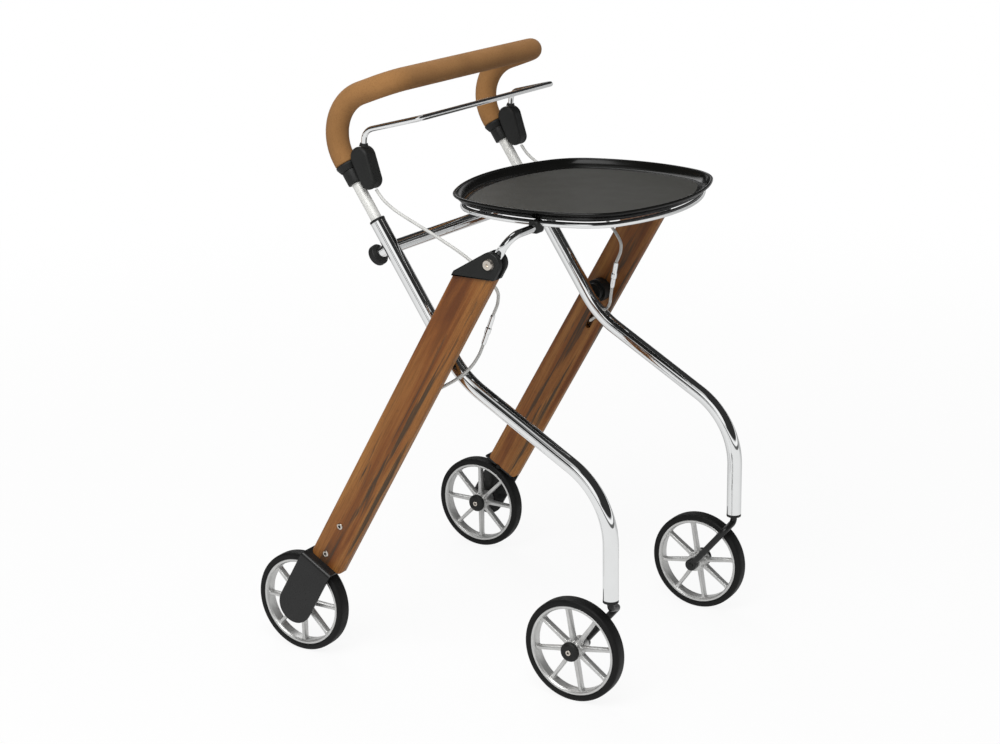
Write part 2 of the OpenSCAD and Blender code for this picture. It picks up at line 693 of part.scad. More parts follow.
module leg_plank() color("sienna") difference() {
    intersection() {
        at_plank() side_slab(plank_in_x, plank_out_x) plank_side();
        at_plank() translate([plank_x, 0, 0]) linear_extrude(clevis_u) plank_section();
        translate([0, -LONG, 0]) cube([LONG, 2 * LONG, cap_z]);
    }
    // Blind hole of the scissor's bolt, from the inner face
    cross_rod(plank_in_x - 1, plank_in_x + pivot_hole_l, pivot[1], pivot[2], bolt_d + 2 * run_gap);
    at_plank() {
        // Slot into which the brake cable runs
        side_slab(plank_in_x - 1, plank_in_x + slot_depth) translate([slot_v, slot_u]) {
            square([slot_w, slot_l - slot_w], center = true);
            for (end = [-1, 1]) translate([0, end * (slot_l - slot_w) / 2]) circle(d = slot_w);
        }
        // Slot of the wheel bracket's tongue, and its screws
        translate([tongue_x - seat_gap, plank_set - tongue_w / 2 - seat_gap, 0])
            cube([tongue_t + 2 * seat_gap, tongue_w + 2 * seat_gap, flange_u + tongue_l + 1]);
        for (u = screw_us)
            cross_rod(tongue_x - screw_past - seat_gap, plank_out_x + 1, plank_set, u, screw_d + 2 * seat_gap);
        // Guide of the brake pad
        translate([pad_x, plank_set, 0]) {
            cylinder(d = pad_d + 2 * free_gap, h = pad_low_u + pad_l + free_gap);
            cylinder(d = pad_rod_d + 2 * run_gap, h = pad_low_u + pad_l + pad_rod_l + free_gap);
        }
    }
}

// Black cap with two ears for the tray's arm
module leg_cap() {
    edge_y = function (z, v) plank_foot[1] + v / sin(plank_lean) - (z - plank_foot[2]) / tan(plank_lean);
    shoulder_h = 7;
    back_low = [edge_y(cap_z, plank_w / 2), cap_z];
    back_top = [edge_y(cap_z + shoulder_h, plank_w / 2), cap_z + shoulder_h];
    front_low = [edge_y(cap_z, -plank_w / 2), cap_z];
    eye = [clevis_y, clevis_z];
    slant = atan2(back_top[1] - eye[1], back_top[0] - eye[0]) + acos(clevis_r / norm(back_top - eye));
    fall = atan2(front_low[1] - eye[1], front_low[0] - eye[0]) - acos(min(1, clevis_r / norm(front_low - eye)));
    ear_gap = tray_eye_t / 2 + free_gap;
    arm_half = tray_arm_d / 2 + 2 * free_gap;
    color("dimgray") difference() {
        side_slab(plank_in_x - cap_proud, plank_out_x + cap_proud) {
            translate(eye) circle(r = clevis_r);
            polygon([back_low, back_top, eye + clevis_r * [cos(slant), sin(slant)], eye,
                eye + clevis_r * [cos(fall), sin(fall)], front_low]);
        }
        // Gap between the ears, in which the arm's eye swings
        side_slab(plank_x - ear_gap, plank_x + ear_gap) translate(eye) {
            circle(r = tray_eye_r + 2 * free_gap);
            rotate(180 - tray_eye_lean - 40) square([2 * clevis_r, 2 * clevis_r]);
            rotate(180 - tray_eye_lean) square([2 * clevis_r, 2 * clevis_r]);
            for (turn = [0, tray_swing]) rotate(180 - tray_eye_lean + turn) translate([0, -arm_half])
                square([2 * clevis_r, 2 * arm_half]);
        }
        cross_rod(plank_in_x - LONG / 4, plank_out_x + LONG / 4, clevis_y, clevis_z, bolt_d + 2 * seat_gap);
    }
}

module clevis_bolt() {
    outside = plank_out_x + cap_proud + seat_gap;
    inside = plank_in_x - cap_proud - seat_gap;
    color("silver") difference() {
        union() {
            cross_rod(inside - bolt_head_t, outside + 1, clevis_y, clevis_z, bolt_d);
            translate([outside, clevis_y, clevis_z]) rotate([0, 90, 0])
                cylinder(d1 = bolt_head_d, d2 = bolt_head_d - 3, h = bolt_head_t);
            translate([inside - bolt_head_t, clevis_y, clevis_z]) rotate([0, 90, 0])
                cylinder(d = bolt_head_d - 2, h = bolt_head_t, $fn = 6);
        }
        translate([outside + bolt_head_t - 2.5, clevis_y, clevis_z]) rotate([0, 90, 0])
            cylinder(d = bolt_socket_d, h = 10, $fn = 6);
    }
}

// Black spacer between the tube and the plank at the scissor's pivot
module pivot_spacer() color("dimgray") difference() {
    union() {
        cross_rod(spacer_in_x, plank_in_x - seat_gap, pivot[1], pivot[2], spacer_d - 8);
        cross_rod(plank_in_x - seat_gap - spacer_flange_t, plank_in_x - seat_gap, pivot[1], pivot[2], spacer_d);
    }
    cross_rod(spacer_in_x - 1, plank_in_x + 1, pivot[1], pivot[2], bolt_d + 2 * run_gap);
}

// Sheet bracket: a plate outside the wheel, a flange over the tyre, a tongue in the plank
module wheel_bracket() color("dimgray") at_plank() difference() {
    union() {
        side_slab(bracket_x, bracket_x + bracket_t) translate([plank_set, 0]) {
            circle(d = bracket_w);
            translate([-bracket_w / 2, 0]) square([bracket_w, plank_end_u - seat_gap]);
        }
        translate([plank_in_x, plank_set - bracket_w / 2, flange_u])
            cube([bracket_x + bracket_t - plank_in_x, bracket_w, bracket_t - seat_gap]);
        translate([tongue_x, plank_set - tongue_w / 2, flange_u]) cube([tongue_t, tongue_w, tongue_l]);
    }
    translate([pad_x, plank_set, 0]) cylinder(d = pad_d + 2 * free_gap, h = 2 * wheel_r);
    cross_rod(bracket_x - 1, bracket_x + bracket_t / 2, plank_set, 0, axle_d + 2 * seat_gap);
    for (u = screw_us) cross_rod(tongue_x - 1, tongue_x + tongue_t + 1, plank_set, u, screw_d + 2 * seat_gap);
}

module bracket_screw(u) color("silver") at_plank() translate([0, plank_set, u]) {
    cross_rod(tongue_x - screw_past, plank_out_x + 1, 0, 0, screw_d);
    translate([plank_out_x + seat_gap, 0, 0]) rotate([0, 90, 0])
        rotate_extrude() polygon([
            [0, 0], [screw_head_d / 2, 0], [screw_head_d / 2, 0.4 * screw_head_t], [0.4 * screw_head_d, screw_head_t],
            [0.4 * screw_d, screw_head_t], [0.32 * screw_d, screw_head_t / 2], [0, screw_head_t / 2]
        ]);
}

module rear_axle() color("silver") {
    cross_rod(rear_wheel_x - hub_cap_reach - 0.5, bracket_x + bracket_t / 2 - seat_gap,
        rear_axle_y, wheel_r, axle_d);
}

// Rubber pad on a rod that slides out of the plank's end onto the tyre
module brake_pad() color("dimgray") at_plank() translate([pad_x, plank_set, pad_low_u]) {
    cylinder(d = pad_d, h = pad_l);
    cylinder(d = pad_rod_d, h = pad_l + pad_rod_l);
}

// Wheels

rim_r = wheel_r - tyre_h;

module tyre() color("dimgray") rotate_extrude() {
    translate([rim_r, tyre_shoulder_r - tyre_w / 2])
        square([tyre_h, tyre_w - 2 * tyre_shoulder_r]);
    translate([rim_r, -tyre_w / 2]) square([tyre_h - tyre_shoulder_r, tyre_w]);
    for (side = [-1, 1])
        translate([wheel_r - tyre_shoulder_r, side * (tyre_w / 2 - tyre_shoulder_r)])
            circle(r = tyre_shoulder_r);
}

module rim() color("silver") {
    seat = rim_r - seat_gap;
    rotate_extrude() polygon([
        [seat, -rim_w / 2], [seat, rim_w / 2], [seat - rim_wall / 2, rim_w / 2],
        [seat - rim_wall, rim_w / 2 - 3], [seat - rim_wall, 3 - rim_w / 2],
        [seat - rim_wall / 2, -rim_w / 2]
    ]);
    difference() {
        union() {
            translate([0, 0, -hub_reach]) cylinder(d = hub_d, h = hub_reach + hub_face);
            translate([0, 0, -spoke_set]) for (k = [0 : spoke_count - 1]) rotate(360 * k / spoke_count) {
                translate([0, 0, -spoke_t / 2]) linear_extrude(spoke_t) polygon([
                    [0, -spoke_w_hub / 2], [seat - rim_wall / 2, -spoke_w_rim / 2],
                    [seat - rim_wall / 2, spoke_w_rim / 2], [0, spoke_w_hub / 2]
                ]);
            }
        }
        cylinder(d = axle_d + 2 * run_gap, h = LONG, center = true);
    }
}

module hub_cap() color("dimgray") rotate_extrude() polygon([
    [axle_d / 2 + seat_gap, hub_face], [hub_cap_d / 2, hub_face], [hub_cap_d / 2, hub_cap_reach - 3.5],
    [hub_cap_d / 2 - 1.5, hub_cap_reach - 1.5], [hub_cap_d / 2 - 4, hub_cap_reach],
    [axle_d / 2 + seat_gap, hub_cap_reach]
]);

// Casters

module caster_fork() color("dimgray") difference() {
    eye = [fork_x, front_axle_y, wheel_r];
    union() {
        bent_run([[tube_x, stem_y, tube_foot_z + bush_l], [tube_x, stem_y, fork_neck_z], fork_side, eye],
            [fork_bend_r, fork_bend_r], stem_d);
        cross_rod(fork_x - stem_d / 2, fork_x + stem_d / 2, front_axle_y, wheel_r, 2 * fork_eye_r);
    }
    cross_rod(fork_x - stem_d, fork_x + stem_d, front_axle_y, wheel_r, axle_d + 2 * seat_gap);
}

module front_axle() color("silver")
    cross_rod(fork_x - stem_d / 2 - 1, tube_x + hub_cap_reach + 0.5, front_axle_y, wheel_r, axle_d);

// Tray and the ring that carries it

// One arc of the ring; its corners are a hair thicker, and the longer arcs between lap into them
module ring_arc(k, grow = 0) {
    arc = tray_arcs[k];
    r = arc[1] - ring_inset;
    lap = k % 2 == 0 ? lap_l / r * 180 / PI : 0;
    translate([arc[0][0], tray_y + arc[0][1], ring_z]) rotate(arc[2] - lap)
        rotate_extrude(angle = arc[3] + 2 * lap) translate([r, 0])
            circle(d = (k % 2 == 0 ? ring_d : ring_d + 2 * lap_step) + grow);
}

module tray_ring() color("gainsboro") for (k = [0 : len(tray_arcs) - 1]) ring_arc(k);

module tray_arm() color("gainsboro") difference() {
    union() {
        side_slab(plank_x - tray_eye_t / 2, plank_x + tray_eye_t / 2) translate([clevis_y, clevis_z]) {
            circle(r = tray_eye_r);
            rotate(180 - tray_eye_lean) translate([0, -tray_arm_d / 2]) square([tray_eye_r + 9, tray_arm_d]);
        }
        bent_run(tray_arm_path, [tray_arm_bend_r], tray_arm_d);
    }
    cross_rod(plank_x - tray_eye_t, plank_x + tray_eye_t, clevis_y, clevis_z, bolt_d + 2 * run_gap);
}

// Black clip that holds an arm and the ring together
module tray_clip() color("dimgray") difference() {
    low = tray_arm_d / 2 + clip_wall;
    translate(clip_at + [-clip_l / 2, -low, -low]) cube([clip_l, 2 * low, low + ring_z - tray_arm_z + ring_d / 4]);
    ring_arc(0, 2 * seat_gap);
    translate(clip_at - [clip_l, 0, 0]) multmatrix(looking_along([0, 0, 0], [-1, 0, 0]))
        cylinder(d = tray_arm_d + 2 * seat_gap, h = 4 * clip_l, center = true);
}

module tray() color("dimgray") {
    floor_edge = -tray_floor_inset;
    translate([0, tray_y, tray_floor_z]) linear_extrude(tray_t) tray_outline(tray_floor_inset);
    round_tray() translate([floor_edge, tray_floor_z]) {
        translate([-10, 0]) square([10, tray_t]);
        translate([0, tray_fillet_r]) rotate(-90) intersection() {
            pipe_outline(2 * tray_fillet_r, 2 * (tray_fillet_r - tray_t));
            polygon([[0, 0], [2 * tray_fillet_r, 0],
                2 * tray_fillet_r * [1, 1],
                2 * tray_fillet_r * [cos(90 - tray_flare), sin(90 - tray_flare)]]);
        }
        translate([0, tray_fillet_r]) rotate(-tray_flare)
            translate([tray_fillet_r - tray_t, 0]) square([tray_t, tray_wall_l]);
        translate([0, tray_fillet_r]) rotate(-tray_flare)
            translate([tray_fillet_r - tray_t / 2, tray_wall_l]) circle(r = tray_bead_r);
    }
}

on_left() front_tube();  // front_tube_left
on_right() front_tube();  // front_tube_right
crossbar();
on_both() tube_collar();  // tube_collars
on_both() caster_bush();  // caster_bushes
on_both() clamp_boss();  // clamp_bosses
on_both() pivot_bolt();  // pivot_bolts
on_both() cable_adjuster();  // cable_adjusters
on_left() upper_cable();  // upper_cable_left
on_right() upper_cable();  // upper_cable_right
on_left() lower_cable();  // lower_cable_left
on_right() lower_cable();  // lower_cable_right
on_left() height_knob();  // height_knob_left
on_right() height_knob();  // height_knob_right
handle_tube();
handle_grip();
on_both() grip_collar();  // grip_collars
on_left() lever_housing();  // lever_housing_left
on_right() lever_housing();  // lever_housing_right
on_both() lever_pin();  // lever_pins
lever_bar();
on_both() lever_boot();  // lever_boots
on_left() leg_plank();  // leg_plank_left
on_right() leg_plank();  // leg_plank_right
on_left() leg_cap();  // leg_cap_left
on_right() leg_cap();  // leg_cap_right
on_both() clevis_bolt();  // clevis_bolts
on_left() pivot_spacer();  // pivot_spacer_left
on_right() pivot_spacer();  // pivot_spacer_right
on_left() wheel_bracket();  // wheel_bracket_left
on_right() wheel_bracket();  // wheel_bracket_right
on_both() for (u = screw_us) bracket_screw(u);  // bracket_screws
on_both() rear_axle();  // rear_axles
on_left() brake_pad();  // brake_pad_left
on_right() brake_pad();  // brake_pad_right
on_left() at_rear_wheel() tyre();  // rear_tyre_left
on_left() at_rear_wheel() rim();  // rear_rim_left
on_left() at_rear_wheel() hub_cap();  // rear_hub_cap_left
on_right() at_rear_wheel() tyre();  // rear_tyre_right
on_right() at_rear_wheel() rim();  // rear_rim_right
on_right() at_rear_wheel() hub_cap();  // rear_hub_cap_right
on_left() caster_fork();  // caster_fork_left
on_right() caster_fork();  // caster_fork_right
on_left() front_axle();  // front_axle_left
on_right() front_axle();  // front_axle_right
on_left() at_front_wheel() tyre();  // front_tyre_left
on_left() at_front_wheel() rim();  // front_rim_left
on_left() at_front_wheel() hub_cap();  // front_hub_cap_left
on_right() at_front_wheel() tyre();  // front_tyre_right
on_right() at_front_wheel() rim();  // front_rim_right
on_right() at_front_wheel() hub_cap();  // front_hub_cap_right
tray_ring();
on_left() tray_arm();  // tray_arm_left
on_right() tray_arm();  // tray_arm_right
on_both() tray_clip();  // tray_clips
tray();
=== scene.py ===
"""Indoor walker with tray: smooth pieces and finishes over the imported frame, and the stage.

Lengths in this file are millimetres unless a property says otherwise. +Z is up, the front is -Y, and pieces
that come in pairs are worked out on the left (+X) and mirrored.
"""

import json

import bpy
import numpy as np
from mathutils import Matrix, Vector

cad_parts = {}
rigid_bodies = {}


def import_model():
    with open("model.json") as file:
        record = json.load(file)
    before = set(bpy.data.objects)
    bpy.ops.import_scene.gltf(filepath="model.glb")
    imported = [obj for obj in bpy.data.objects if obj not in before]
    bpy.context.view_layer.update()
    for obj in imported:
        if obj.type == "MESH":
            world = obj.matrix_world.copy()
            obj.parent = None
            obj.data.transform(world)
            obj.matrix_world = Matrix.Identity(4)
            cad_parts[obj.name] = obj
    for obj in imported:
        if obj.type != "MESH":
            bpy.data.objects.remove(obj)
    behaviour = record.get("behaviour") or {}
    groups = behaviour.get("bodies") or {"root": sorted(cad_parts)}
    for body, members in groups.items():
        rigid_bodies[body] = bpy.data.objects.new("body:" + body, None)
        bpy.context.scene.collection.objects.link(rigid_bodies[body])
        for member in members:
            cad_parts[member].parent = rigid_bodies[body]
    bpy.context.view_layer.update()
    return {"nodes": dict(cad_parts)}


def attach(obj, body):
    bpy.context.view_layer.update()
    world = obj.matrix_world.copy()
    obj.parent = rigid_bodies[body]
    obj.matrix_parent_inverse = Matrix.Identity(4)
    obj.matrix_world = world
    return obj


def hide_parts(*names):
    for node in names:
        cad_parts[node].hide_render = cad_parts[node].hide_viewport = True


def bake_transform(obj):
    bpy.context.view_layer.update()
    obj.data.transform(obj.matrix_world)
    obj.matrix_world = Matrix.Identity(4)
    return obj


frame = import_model()

bl_info = {
    "name": "Indoor walker",
    "version": (1, 0, 0),
    "blender": (4, 5, 0),
    "location": "View3D > Sidebar > Walker",
    "description": "Builds the visible pieces of a folding indoor walker and its stage",
    "category": "Object",
}

MM = 0.001
X_AXIS = np.array([1.0, 0.0, 0.0])
Z_AXIS = np.array([0.0, 0.0, 1.0])
SIDES = (("left", 1), ("right", -1))

# Factors that take a point on the left to the right
FLIP = np.array([-1, 1, 1])

# Direction that no rod runs along, from which the angle round a rod is counted
SKEW = np.array([0.6, 0.5, 0.62])

# Left front tube: its top end, the direction up along it and the direction to its front
TUBE_X = 189.0
TUBE_TOP = np.array([TUBE_X, 96.5, 646.0])
TUBE_UP = np.array([0.0, 0.550481, 0.834848])
TUBE_FORE = np.array([0.0, -0.834848, 0.550481])
TUBE_CORNERS = [TUBE_TOP, [TUBE_X, -38.671, 441.0], [TUBE_X, -273.0, 307.88], [TUBE_X, -273.0, 161.0]]

# Left plank: its foot at the rear axle's height, up along it and back across it
PLANK_X = 237.0
PLANK_FOOT = np.array([0.0, 210.304, 72.0])
PLANK_UP = np.array([0.0, -0.5, 0.866025])
PLANK_BACK = np.array([0.0, 0.866025, 0.5])
PLANK_SET = 6.0
PLANK_OUT_X = 245.25

# Y and Z of the bolts in the caps, of the crossbar and of the tray arms' inner ends
CLEVIS = np.array([-123.454, 624.086])
CROSSBAR_AT = np.array([72.261, 612.872])
TRAY_ARM_AT = np.array([-149.03, 662.0])

# Middles of the left lever pin and the left wheels
LEVER_PIN = np.array([TUBE_X, 117.961, 734.862])
REAR_WHEEL = np.array([238.0, 215.5, 75.0])
FRONT_WHEEL = np.array([189.0, -215.5, 75.0])
FORK_X = 164.0

# The tray's middle and underside, and its ring, which lies inside the tray's outline by the inset
TRAY_Y = -124.454
TRAY_UNDER_Z = 672.5
RING_Z = 667.95
RING_INSET = 14.0

# Direction in which the camera looks
VIEW_FORWARD = (0.8292, 0.4843, -0.2790)

# Middle lines of the left brake cables
UPPER_ROUTE = [
    [189, 98, 691], [189, 85.8, 677.4], [189, 64.5, 663.7], [187, 28.5, 646.8], [184, 2.3, 634],
    [177, -45.4, 606.2], [171, -82, 571.5], [171, -86.8, 552.4], [171, -79, 532],
]
LOWER_ROUTE = [
    [179, -67, 490], [184, -62, 474], [194, -54, 458], [206, -38, 442], [218, -18, 429], [231, 1, 416],
]


# Lines and arcs


def unit(v):
    """v divided by its length, along its last axis."""
    return v / np.linalg.norm(v, axis=-1, keepdims=True)


def corner_arcs(before, corner, after, radii, steps):
    """Arcs that round corners: each starts R*tan(turn/2) before its corner and runs about the centre that
    lies R inwards of that start, through the whole turn."""
    into = unit(corner - before)
    onward = unit(after - corner)
    cosine = np.clip((into * onward).sum(1), -1, 1)
    turn = np.arccos(cosine)
    inward = unit(onward - into * cosine[:, None])
    radius = np.broadcast_to(np.asarray(radii, float), turn.shape)
    start = corner - into * (radius * np.tan(turn / 2))[:, None]
    centre = start + inward * radius[:, None]
    angle = (turn[:, None] * np.linspace(0, 1, steps))[..., None]
    reach = np.sin(angle) * into[:, None] - np.cos(angle) * inward[:, None]
    return centre[:, None] + radius[:, None, None] * reach


def bent_path(corners, radii, steps=24):
    """Points along straight runs joined by arcs of the given radii."""
    corners = np.asarray(corners, float)
    arcs = corner_arcs(corners[:-2], corners[1:-1], corners[2:], radii, steps)
    return np.concatenate([corners[:1], arcs.reshape(-1, corners.shape[1]), corners[-1:]])


def rounded_outline(corners, radii, steps=6):
    """Closed outline whose corners are rounded by arcs of the given radii."""
    corners = np.asarray(corners, float)
    arcs = corner_arcs(np.roll(corners, 1, 0), corners, np.roll(corners, -1, 0), radii, steps)
    return arcs.reshape(-1, corners.shape[1])


def evenly(path, count):
    """The path's points again, at equal distances along its length."""
    gone = np.concatenate([[0], np.cumsum(np.linalg.norm(np.diff(path, axis=0), axis=1))])
    at = np.linspace(0, gone[-1], count)
    return np.stack([np.interp(at, gone, path[:, k]) for k in range(path.shape[1])], axis=1)


def smooth_route(points, steps):
    """Catmull-Rom curve through points: a cubic in t between each two, from their neighbours."""
    p = np.asarray(points, float)
    p0, p1, p2 = np.concatenate([p[:1], p[:-2]]), p[:-1], p[1:]
    p3 = np.concatenate([p[2:], p[-1:]])
    t = np.linspace(0, 1, steps, endpoint=False)[None, :, None]
    p0, p1, p2, p3 = (q[:, None] for q in (p0, p1, p2, p3))
    cubic = (2 * p0 - 5 * p1 + 4 * p2 - p3) * t**2 + (3 * p1 - p0 - 3 * p2 + p3) * t**3
    curve = 0.5 * (2 * p1 + (p2 - p0) * t + cubic)
    return np.concatenate([curve.reshape(-1, 3), p[-1:]])


def arc(centre, radius, first, last, count):
    """Points on a circle in a plane, from one angle to another in degrees."""
    angle = np.radians(np.linspace(first, last, count))
    return np.asarray(centre, float) + radius * np.stack([np.cos(angle), np.sin(angle)], axis=1)


# Surfaces: each returns a shell, which is an array of points and a list of faces


def skin(grid, wrap_u=False, wrap_v=True, caps=True):
    """Quads between neighbours of a grid of points, closed round v and also round u if asked, with one flat
    face over the first and the last row where u stays open."""
    rows, cols = grid.shape[:2]
    index = np.arange(rows * cols).reshape(rows, cols)
    ends = [index[0, ::-1].tolist(), index[-1].tolist()] if caps and not wrap_u else []
    if wrap_u:
        index = np.concatenate([index, index[:1]])
    if wrap_v:
        index = np.concatenate([index, index[:, :1]], axis=1)
    quads = np.stack([index[:-1, :-1], index[:-1, 1:], index[1:, 1:], index[1:, :-1]], axis=-1)
    return grid.reshape(-1, 3), quads.reshape(-1, 4).tolist() + ends


def mirrored(shell):
    """The shell on the other side of the middle plane, with its faces turned back outwards."""
    points, faces = shell
    return points * FLIP, [face[::-1] for face in faces]


def ring_grid(path, radius, sides, ref, loop, flat=None):
    """Circle carried along a path: path + radius*(cos(a)*side + sin(a)*up), where side is ref's part square
    to the path and up is the tangent crossed with side. flat gives up a radius of its own."""
    ref = unit(np.asarray(ref, float))
    ahead, behind = np.roll(path, -1, 0), np.roll(path, 1, 0)
    if not loop:
        ahead[-1], behind[0] = path[-1], path[0]
    tangent = unit(ahead - behind)
    side = unit(ref - tangent * (tangent @ ref)[:, None])
    up = np.cross(tangent, side)
    angle = np.linspace(0, 2 * np.pi, sides, endpoint=False)[None, :, None]
    radius = np.broadcast_to(np.asarray(radius, float), len(path))[:, None, None]
    flat = radius if flat is None else np.asarray(flat, float)[:, None, None]
    return path[:, None] + radius * np.cos(angle) * side[:, None] + flat * np.sin(angle) * up[:, None]


def rod(path, radius, sides=40, ref=SKEW, loop=False, flat=None):
    """Solid round bar along a path, closed at its ends or into a ring."""
    return skin(ring_grid(path, radius, sides, ref, loop, flat), wrap_u=loop)


def pipe(path, outer_r, inner_r, sides, ref):
    """Tube along a path: the outer skin forwards, then the inner skin backwards, closed over both ends."""
    outer = ring_grid(path, outer_r, sides, ref, False)
    inner = ring_grid(path, inner_r, sides, ref, False)
    return skin(np.concatenate([outer, inner[::-1]]), wrap_u=True)


def soft_ends(path, radius, edge, steps=6):
    """Radius along a path that is rounded at both ends: radius - edge + edge*sqrt(1 - (1 - s/edge)^2) over
    the first and last stretch s. Returns the path with those stations added, and its radii."""
    s = edge * (1 - np.cos(np.linspace(0, np.pi / 2, steps)))
    first, last = unit(path[1] - path[0]), unit(path[-2] - path[-1])
    head, tail = path[0] + s[:, None] * first, path[-1] + s[:, None] * last
    rise = radius - edge + np.sqrt(np.maximum(edge**2 - (edge - s) ** 2, 0))
    middle = np.full(len(path) - 2, radius)
    return np.concatenate([head, path[1:-1], tail[::-1]]), np.concatenate([rise, middle, rise[::-1]])


def turned(profile, origin, axis, across, sides=72, closed=True):
    """Profile of (radius, height) points turned about an axis through origin; height runs along the axis."""
    profile = np.asarray(profile, float)
    ez = np.asarray(axis, float)
    ex = np.asarray(across, float)
    ey = np.cross(ez, ex)
    angle = np.linspace(0, 2 * np.pi, sides, endpoint=False)[None, :, None]
    radius, height = profile[:, 0][:, None, None], profile[:, 1][:, None, None]
    grid = np.asarray(origin, float) + radius * (np.cos(angle) * ex + np.sin(angle) * ey) + height * ez
    return skin(grid, wrap_u=closed)


def slab(outline, x1, x2, edge1, edge2, steps=6):
    """Outline in the Y-Z plane thickened from x1 to x2. Its rim is rounded: at the angle a the inset is
    edge*(1 - sin a) and the distance from the face is edge*(1 - cos a)."""
    outline = np.asarray(outline, float)
    along = unit(np.roll(outline, -1, 0) - np.roll(outline, 1, 0))
    outward = np.stack([along[:, 1], -along[:, 0]], axis=1)
    a = np.linspace(0, np.pi / 2, steps)
    inset = np.concatenate([edge1 * (1 - np.sin(a)), edge2 * (1 - np.sin(a[::-1]))])
    x = np.concatenate([x1 + edge1 * (1 - np.cos(a)), x2 - edge2 * (1 - np.cos(a[::-1]))])
    rims = outline[None] - inset[:, None, None] * outward[None]
    grid = np.concatenate([np.broadcast_to(x[:, None, None], rims.shape[:2] + (1,)), rims], axis=2)
    return skin(grid)


# Objects


FINISHES = {}


def make_piece(name, shells, finish, body, *nodes, crease=35.0):
    """One mesh object from its shells, in metres, smooth except over edges sharper than crease. It stands for
    the given nodes and rides on the body, unless body is None."""
    points, faces, count = [], [], 0
    for shell_points, shell_faces in shells:
        points.append(shell_points)
        faces += [[k + count for k in face] for face in shell_faces]
        count += len(shell_points)
    mesh = bpy.data.meshes.new(name)
    mesh.from_pydata(np.concatenate(points) * MM, [], faces)
    mesh.shade_smooth()
    mesh.set_sharp_from_angle(angle=np.radians(crease))
    mesh.materials.append(FINISHES[finish])
    piece = bpy.data.objects.new(name, mesh)
    bpy.context.scene.collection.objects.link(piece)
    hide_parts(*nodes)
    if body:
        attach(piece, body)
    return piece


def make_pair(stem, shells, finish, body):
    """A piece on the left and its mirror image on the right, each for the node of the stem and the side. A
    body gets the side's name where it holds braces. Returns the pieces with the signs of their sides."""
    pieces = []
    for side, sign in SIDES:
        own = shells if sign > 0 else [mirrored(shell) for shell in shells]
        carrier = body and body.format(side)
        pieces.append((make_piece(f"{stem}_skin_{side}", own, finish, carrier, f"{stem}_{side}"), sign))
    return pieces


def make_double(name, shell, body, node):
    """One plastic piece of a shell on the left and its mirror image on the right."""
    make_piece(name, [shell, mirrored(shell)], "moulded_plastic_and_socket_shade", body, node)


def second_finish(piece, finish, first):
    """Gives a piece's faces from the first one on a finish of their own."""
    piece.data.materials.append(FINISHES[finish])
    index = np.arange(len(piece.data.polygons)) >= first
    piece.data.polygons.foreach_set("material_index", index.astype(np.int32))


def dress(finish, *nodes):
    """Gives CAD nodes that stay as they are a finish."""
    for name in nodes:
        node = frame["nodes"][name]
        if not node.material_slots:
            node.data.materials.append(FINISHES[finish])
        for slot in node.material_slots:
            slot.material = FINISHES[finish]


def both(name):
    """The name with _left and with _right."""
    return [f"{name}_{side}" for side, _ in SIDES]


# Finishes


def plug(node, inputs):
    """Gives a node's inputs, by name or number, their sockets or plain values."""
    for key, source in inputs.items():
        if isinstance(source, bpy.types.NodeSocket):
            node.id_data.links.new(source, node.inputs[key])
        else:
            node.inputs[key].default_value = source


def place(node, stretch=(1, 1, 1), turn=0.0, shift=(0, 0, 0)):
    """Object coordinates, turned about X by an angle in degrees, shifted and then stretched."""
    nodes = node.id_data.nodes
    where = nodes.new("ShaderNodeTexCoord").outputs["Object"]
    for values in ({"Rotation": (np.radians(turn), 0, 0), "Location": shift}, {"Scale": stretch}):
        mapping = nodes.new("ShaderNodeMapping")
        plug(mapping, {"Vector": where, **values})
        where = mapping.outputs["Vector"]
    return where


def noise(where, scale, detail=4.0, roughness=0.5, distortion=0.0):
    """Noise between 0 and 1 at a place."""
    node = where.id_data.nodes.new("ShaderNodeTexNoise")
    plug(node, {"Vector": where, "Scale": scale, "Detail": detail})
    plug(node, {"Roughness": roughness, "Distortion": distortion})
    return node.outputs["Fac"]


def pores(where, scale):
    """Distance from the nearest cell's middle, at a place."""
    node = where.id_data.nodes.new("ShaderNodeTexVoronoi")
    plug(node, {"Vector": where, "Scale": scale})
    return node.outputs["Distance"]


def between(source, low, high, to_low, to_high):
    """A value taken from one range to another with a smooth step."""
    node = source.id_data.nodes.new("ShaderNodeMapRange")
    node.interpolation_type = "SMOOTHSTEP"
    plug(node, {"Value": source, "From Min": low, "From Max": high, "To Min": to_low, "To Max": to_high})
    return node.outputs["Result"]


def shades(source, stops):
    """Colours along a value: stops are (value, colour) pairs."""
    node = source.id_data.nodes.new("ShaderNodeValToRGB")
    elements = node.color_ramp.elements
    while len(elements) < len(stops):
        elements.new(0.5)
    for element, (at, colour) in zip(elements, stops):
        element.position = at
        element.color = (*colour, 1)
    plug(node, {"Fac": source})
    return node.outputs["Color"]


def over(factor, below, above):
    """A plain colour over a socket's colour by a factor. Its node has colour sockets at 6, 7 and 2."""
    node = factor.id_data.nodes.new("ShaderNodeMix")
    node.data_type = "RGBA"
    plug(node, {0: factor, 6: below, 7: (*above, 1)})
    return node.outputs[2]


def combine(operation, first, second):
    """One Math node on a socket and on a second socket or number."""
    node = first.id_data.nodes.new("ShaderNodeMath")
    node.operation = operation
    plug(node, {0: first, 1: second})
    return node.outputs[0]


def measure(operation, where, other=(0, 0, 0)):
    """One Vector Math node on a place, and on a second vector where the operation takes one."""
    node = where.id_data.nodes.new("ShaderNodeVectorMath")
    node.operation = operation
    plug(node, {0: where, 1: other})
    return node.outputs["Value"]


def mixed(factor, below, above):
    """One shader over another by a factor."""
    node = factor.id_data.nodes.new("ShaderNodeMixShader")
    plug(node, {0: factor, 1: below, 2: above})
    return node.outputs[0]


def tint(colour, *factors):
    """A colour times one factor, or times a factor for each channel."""
    return tuple(np.array(colour) * factors)


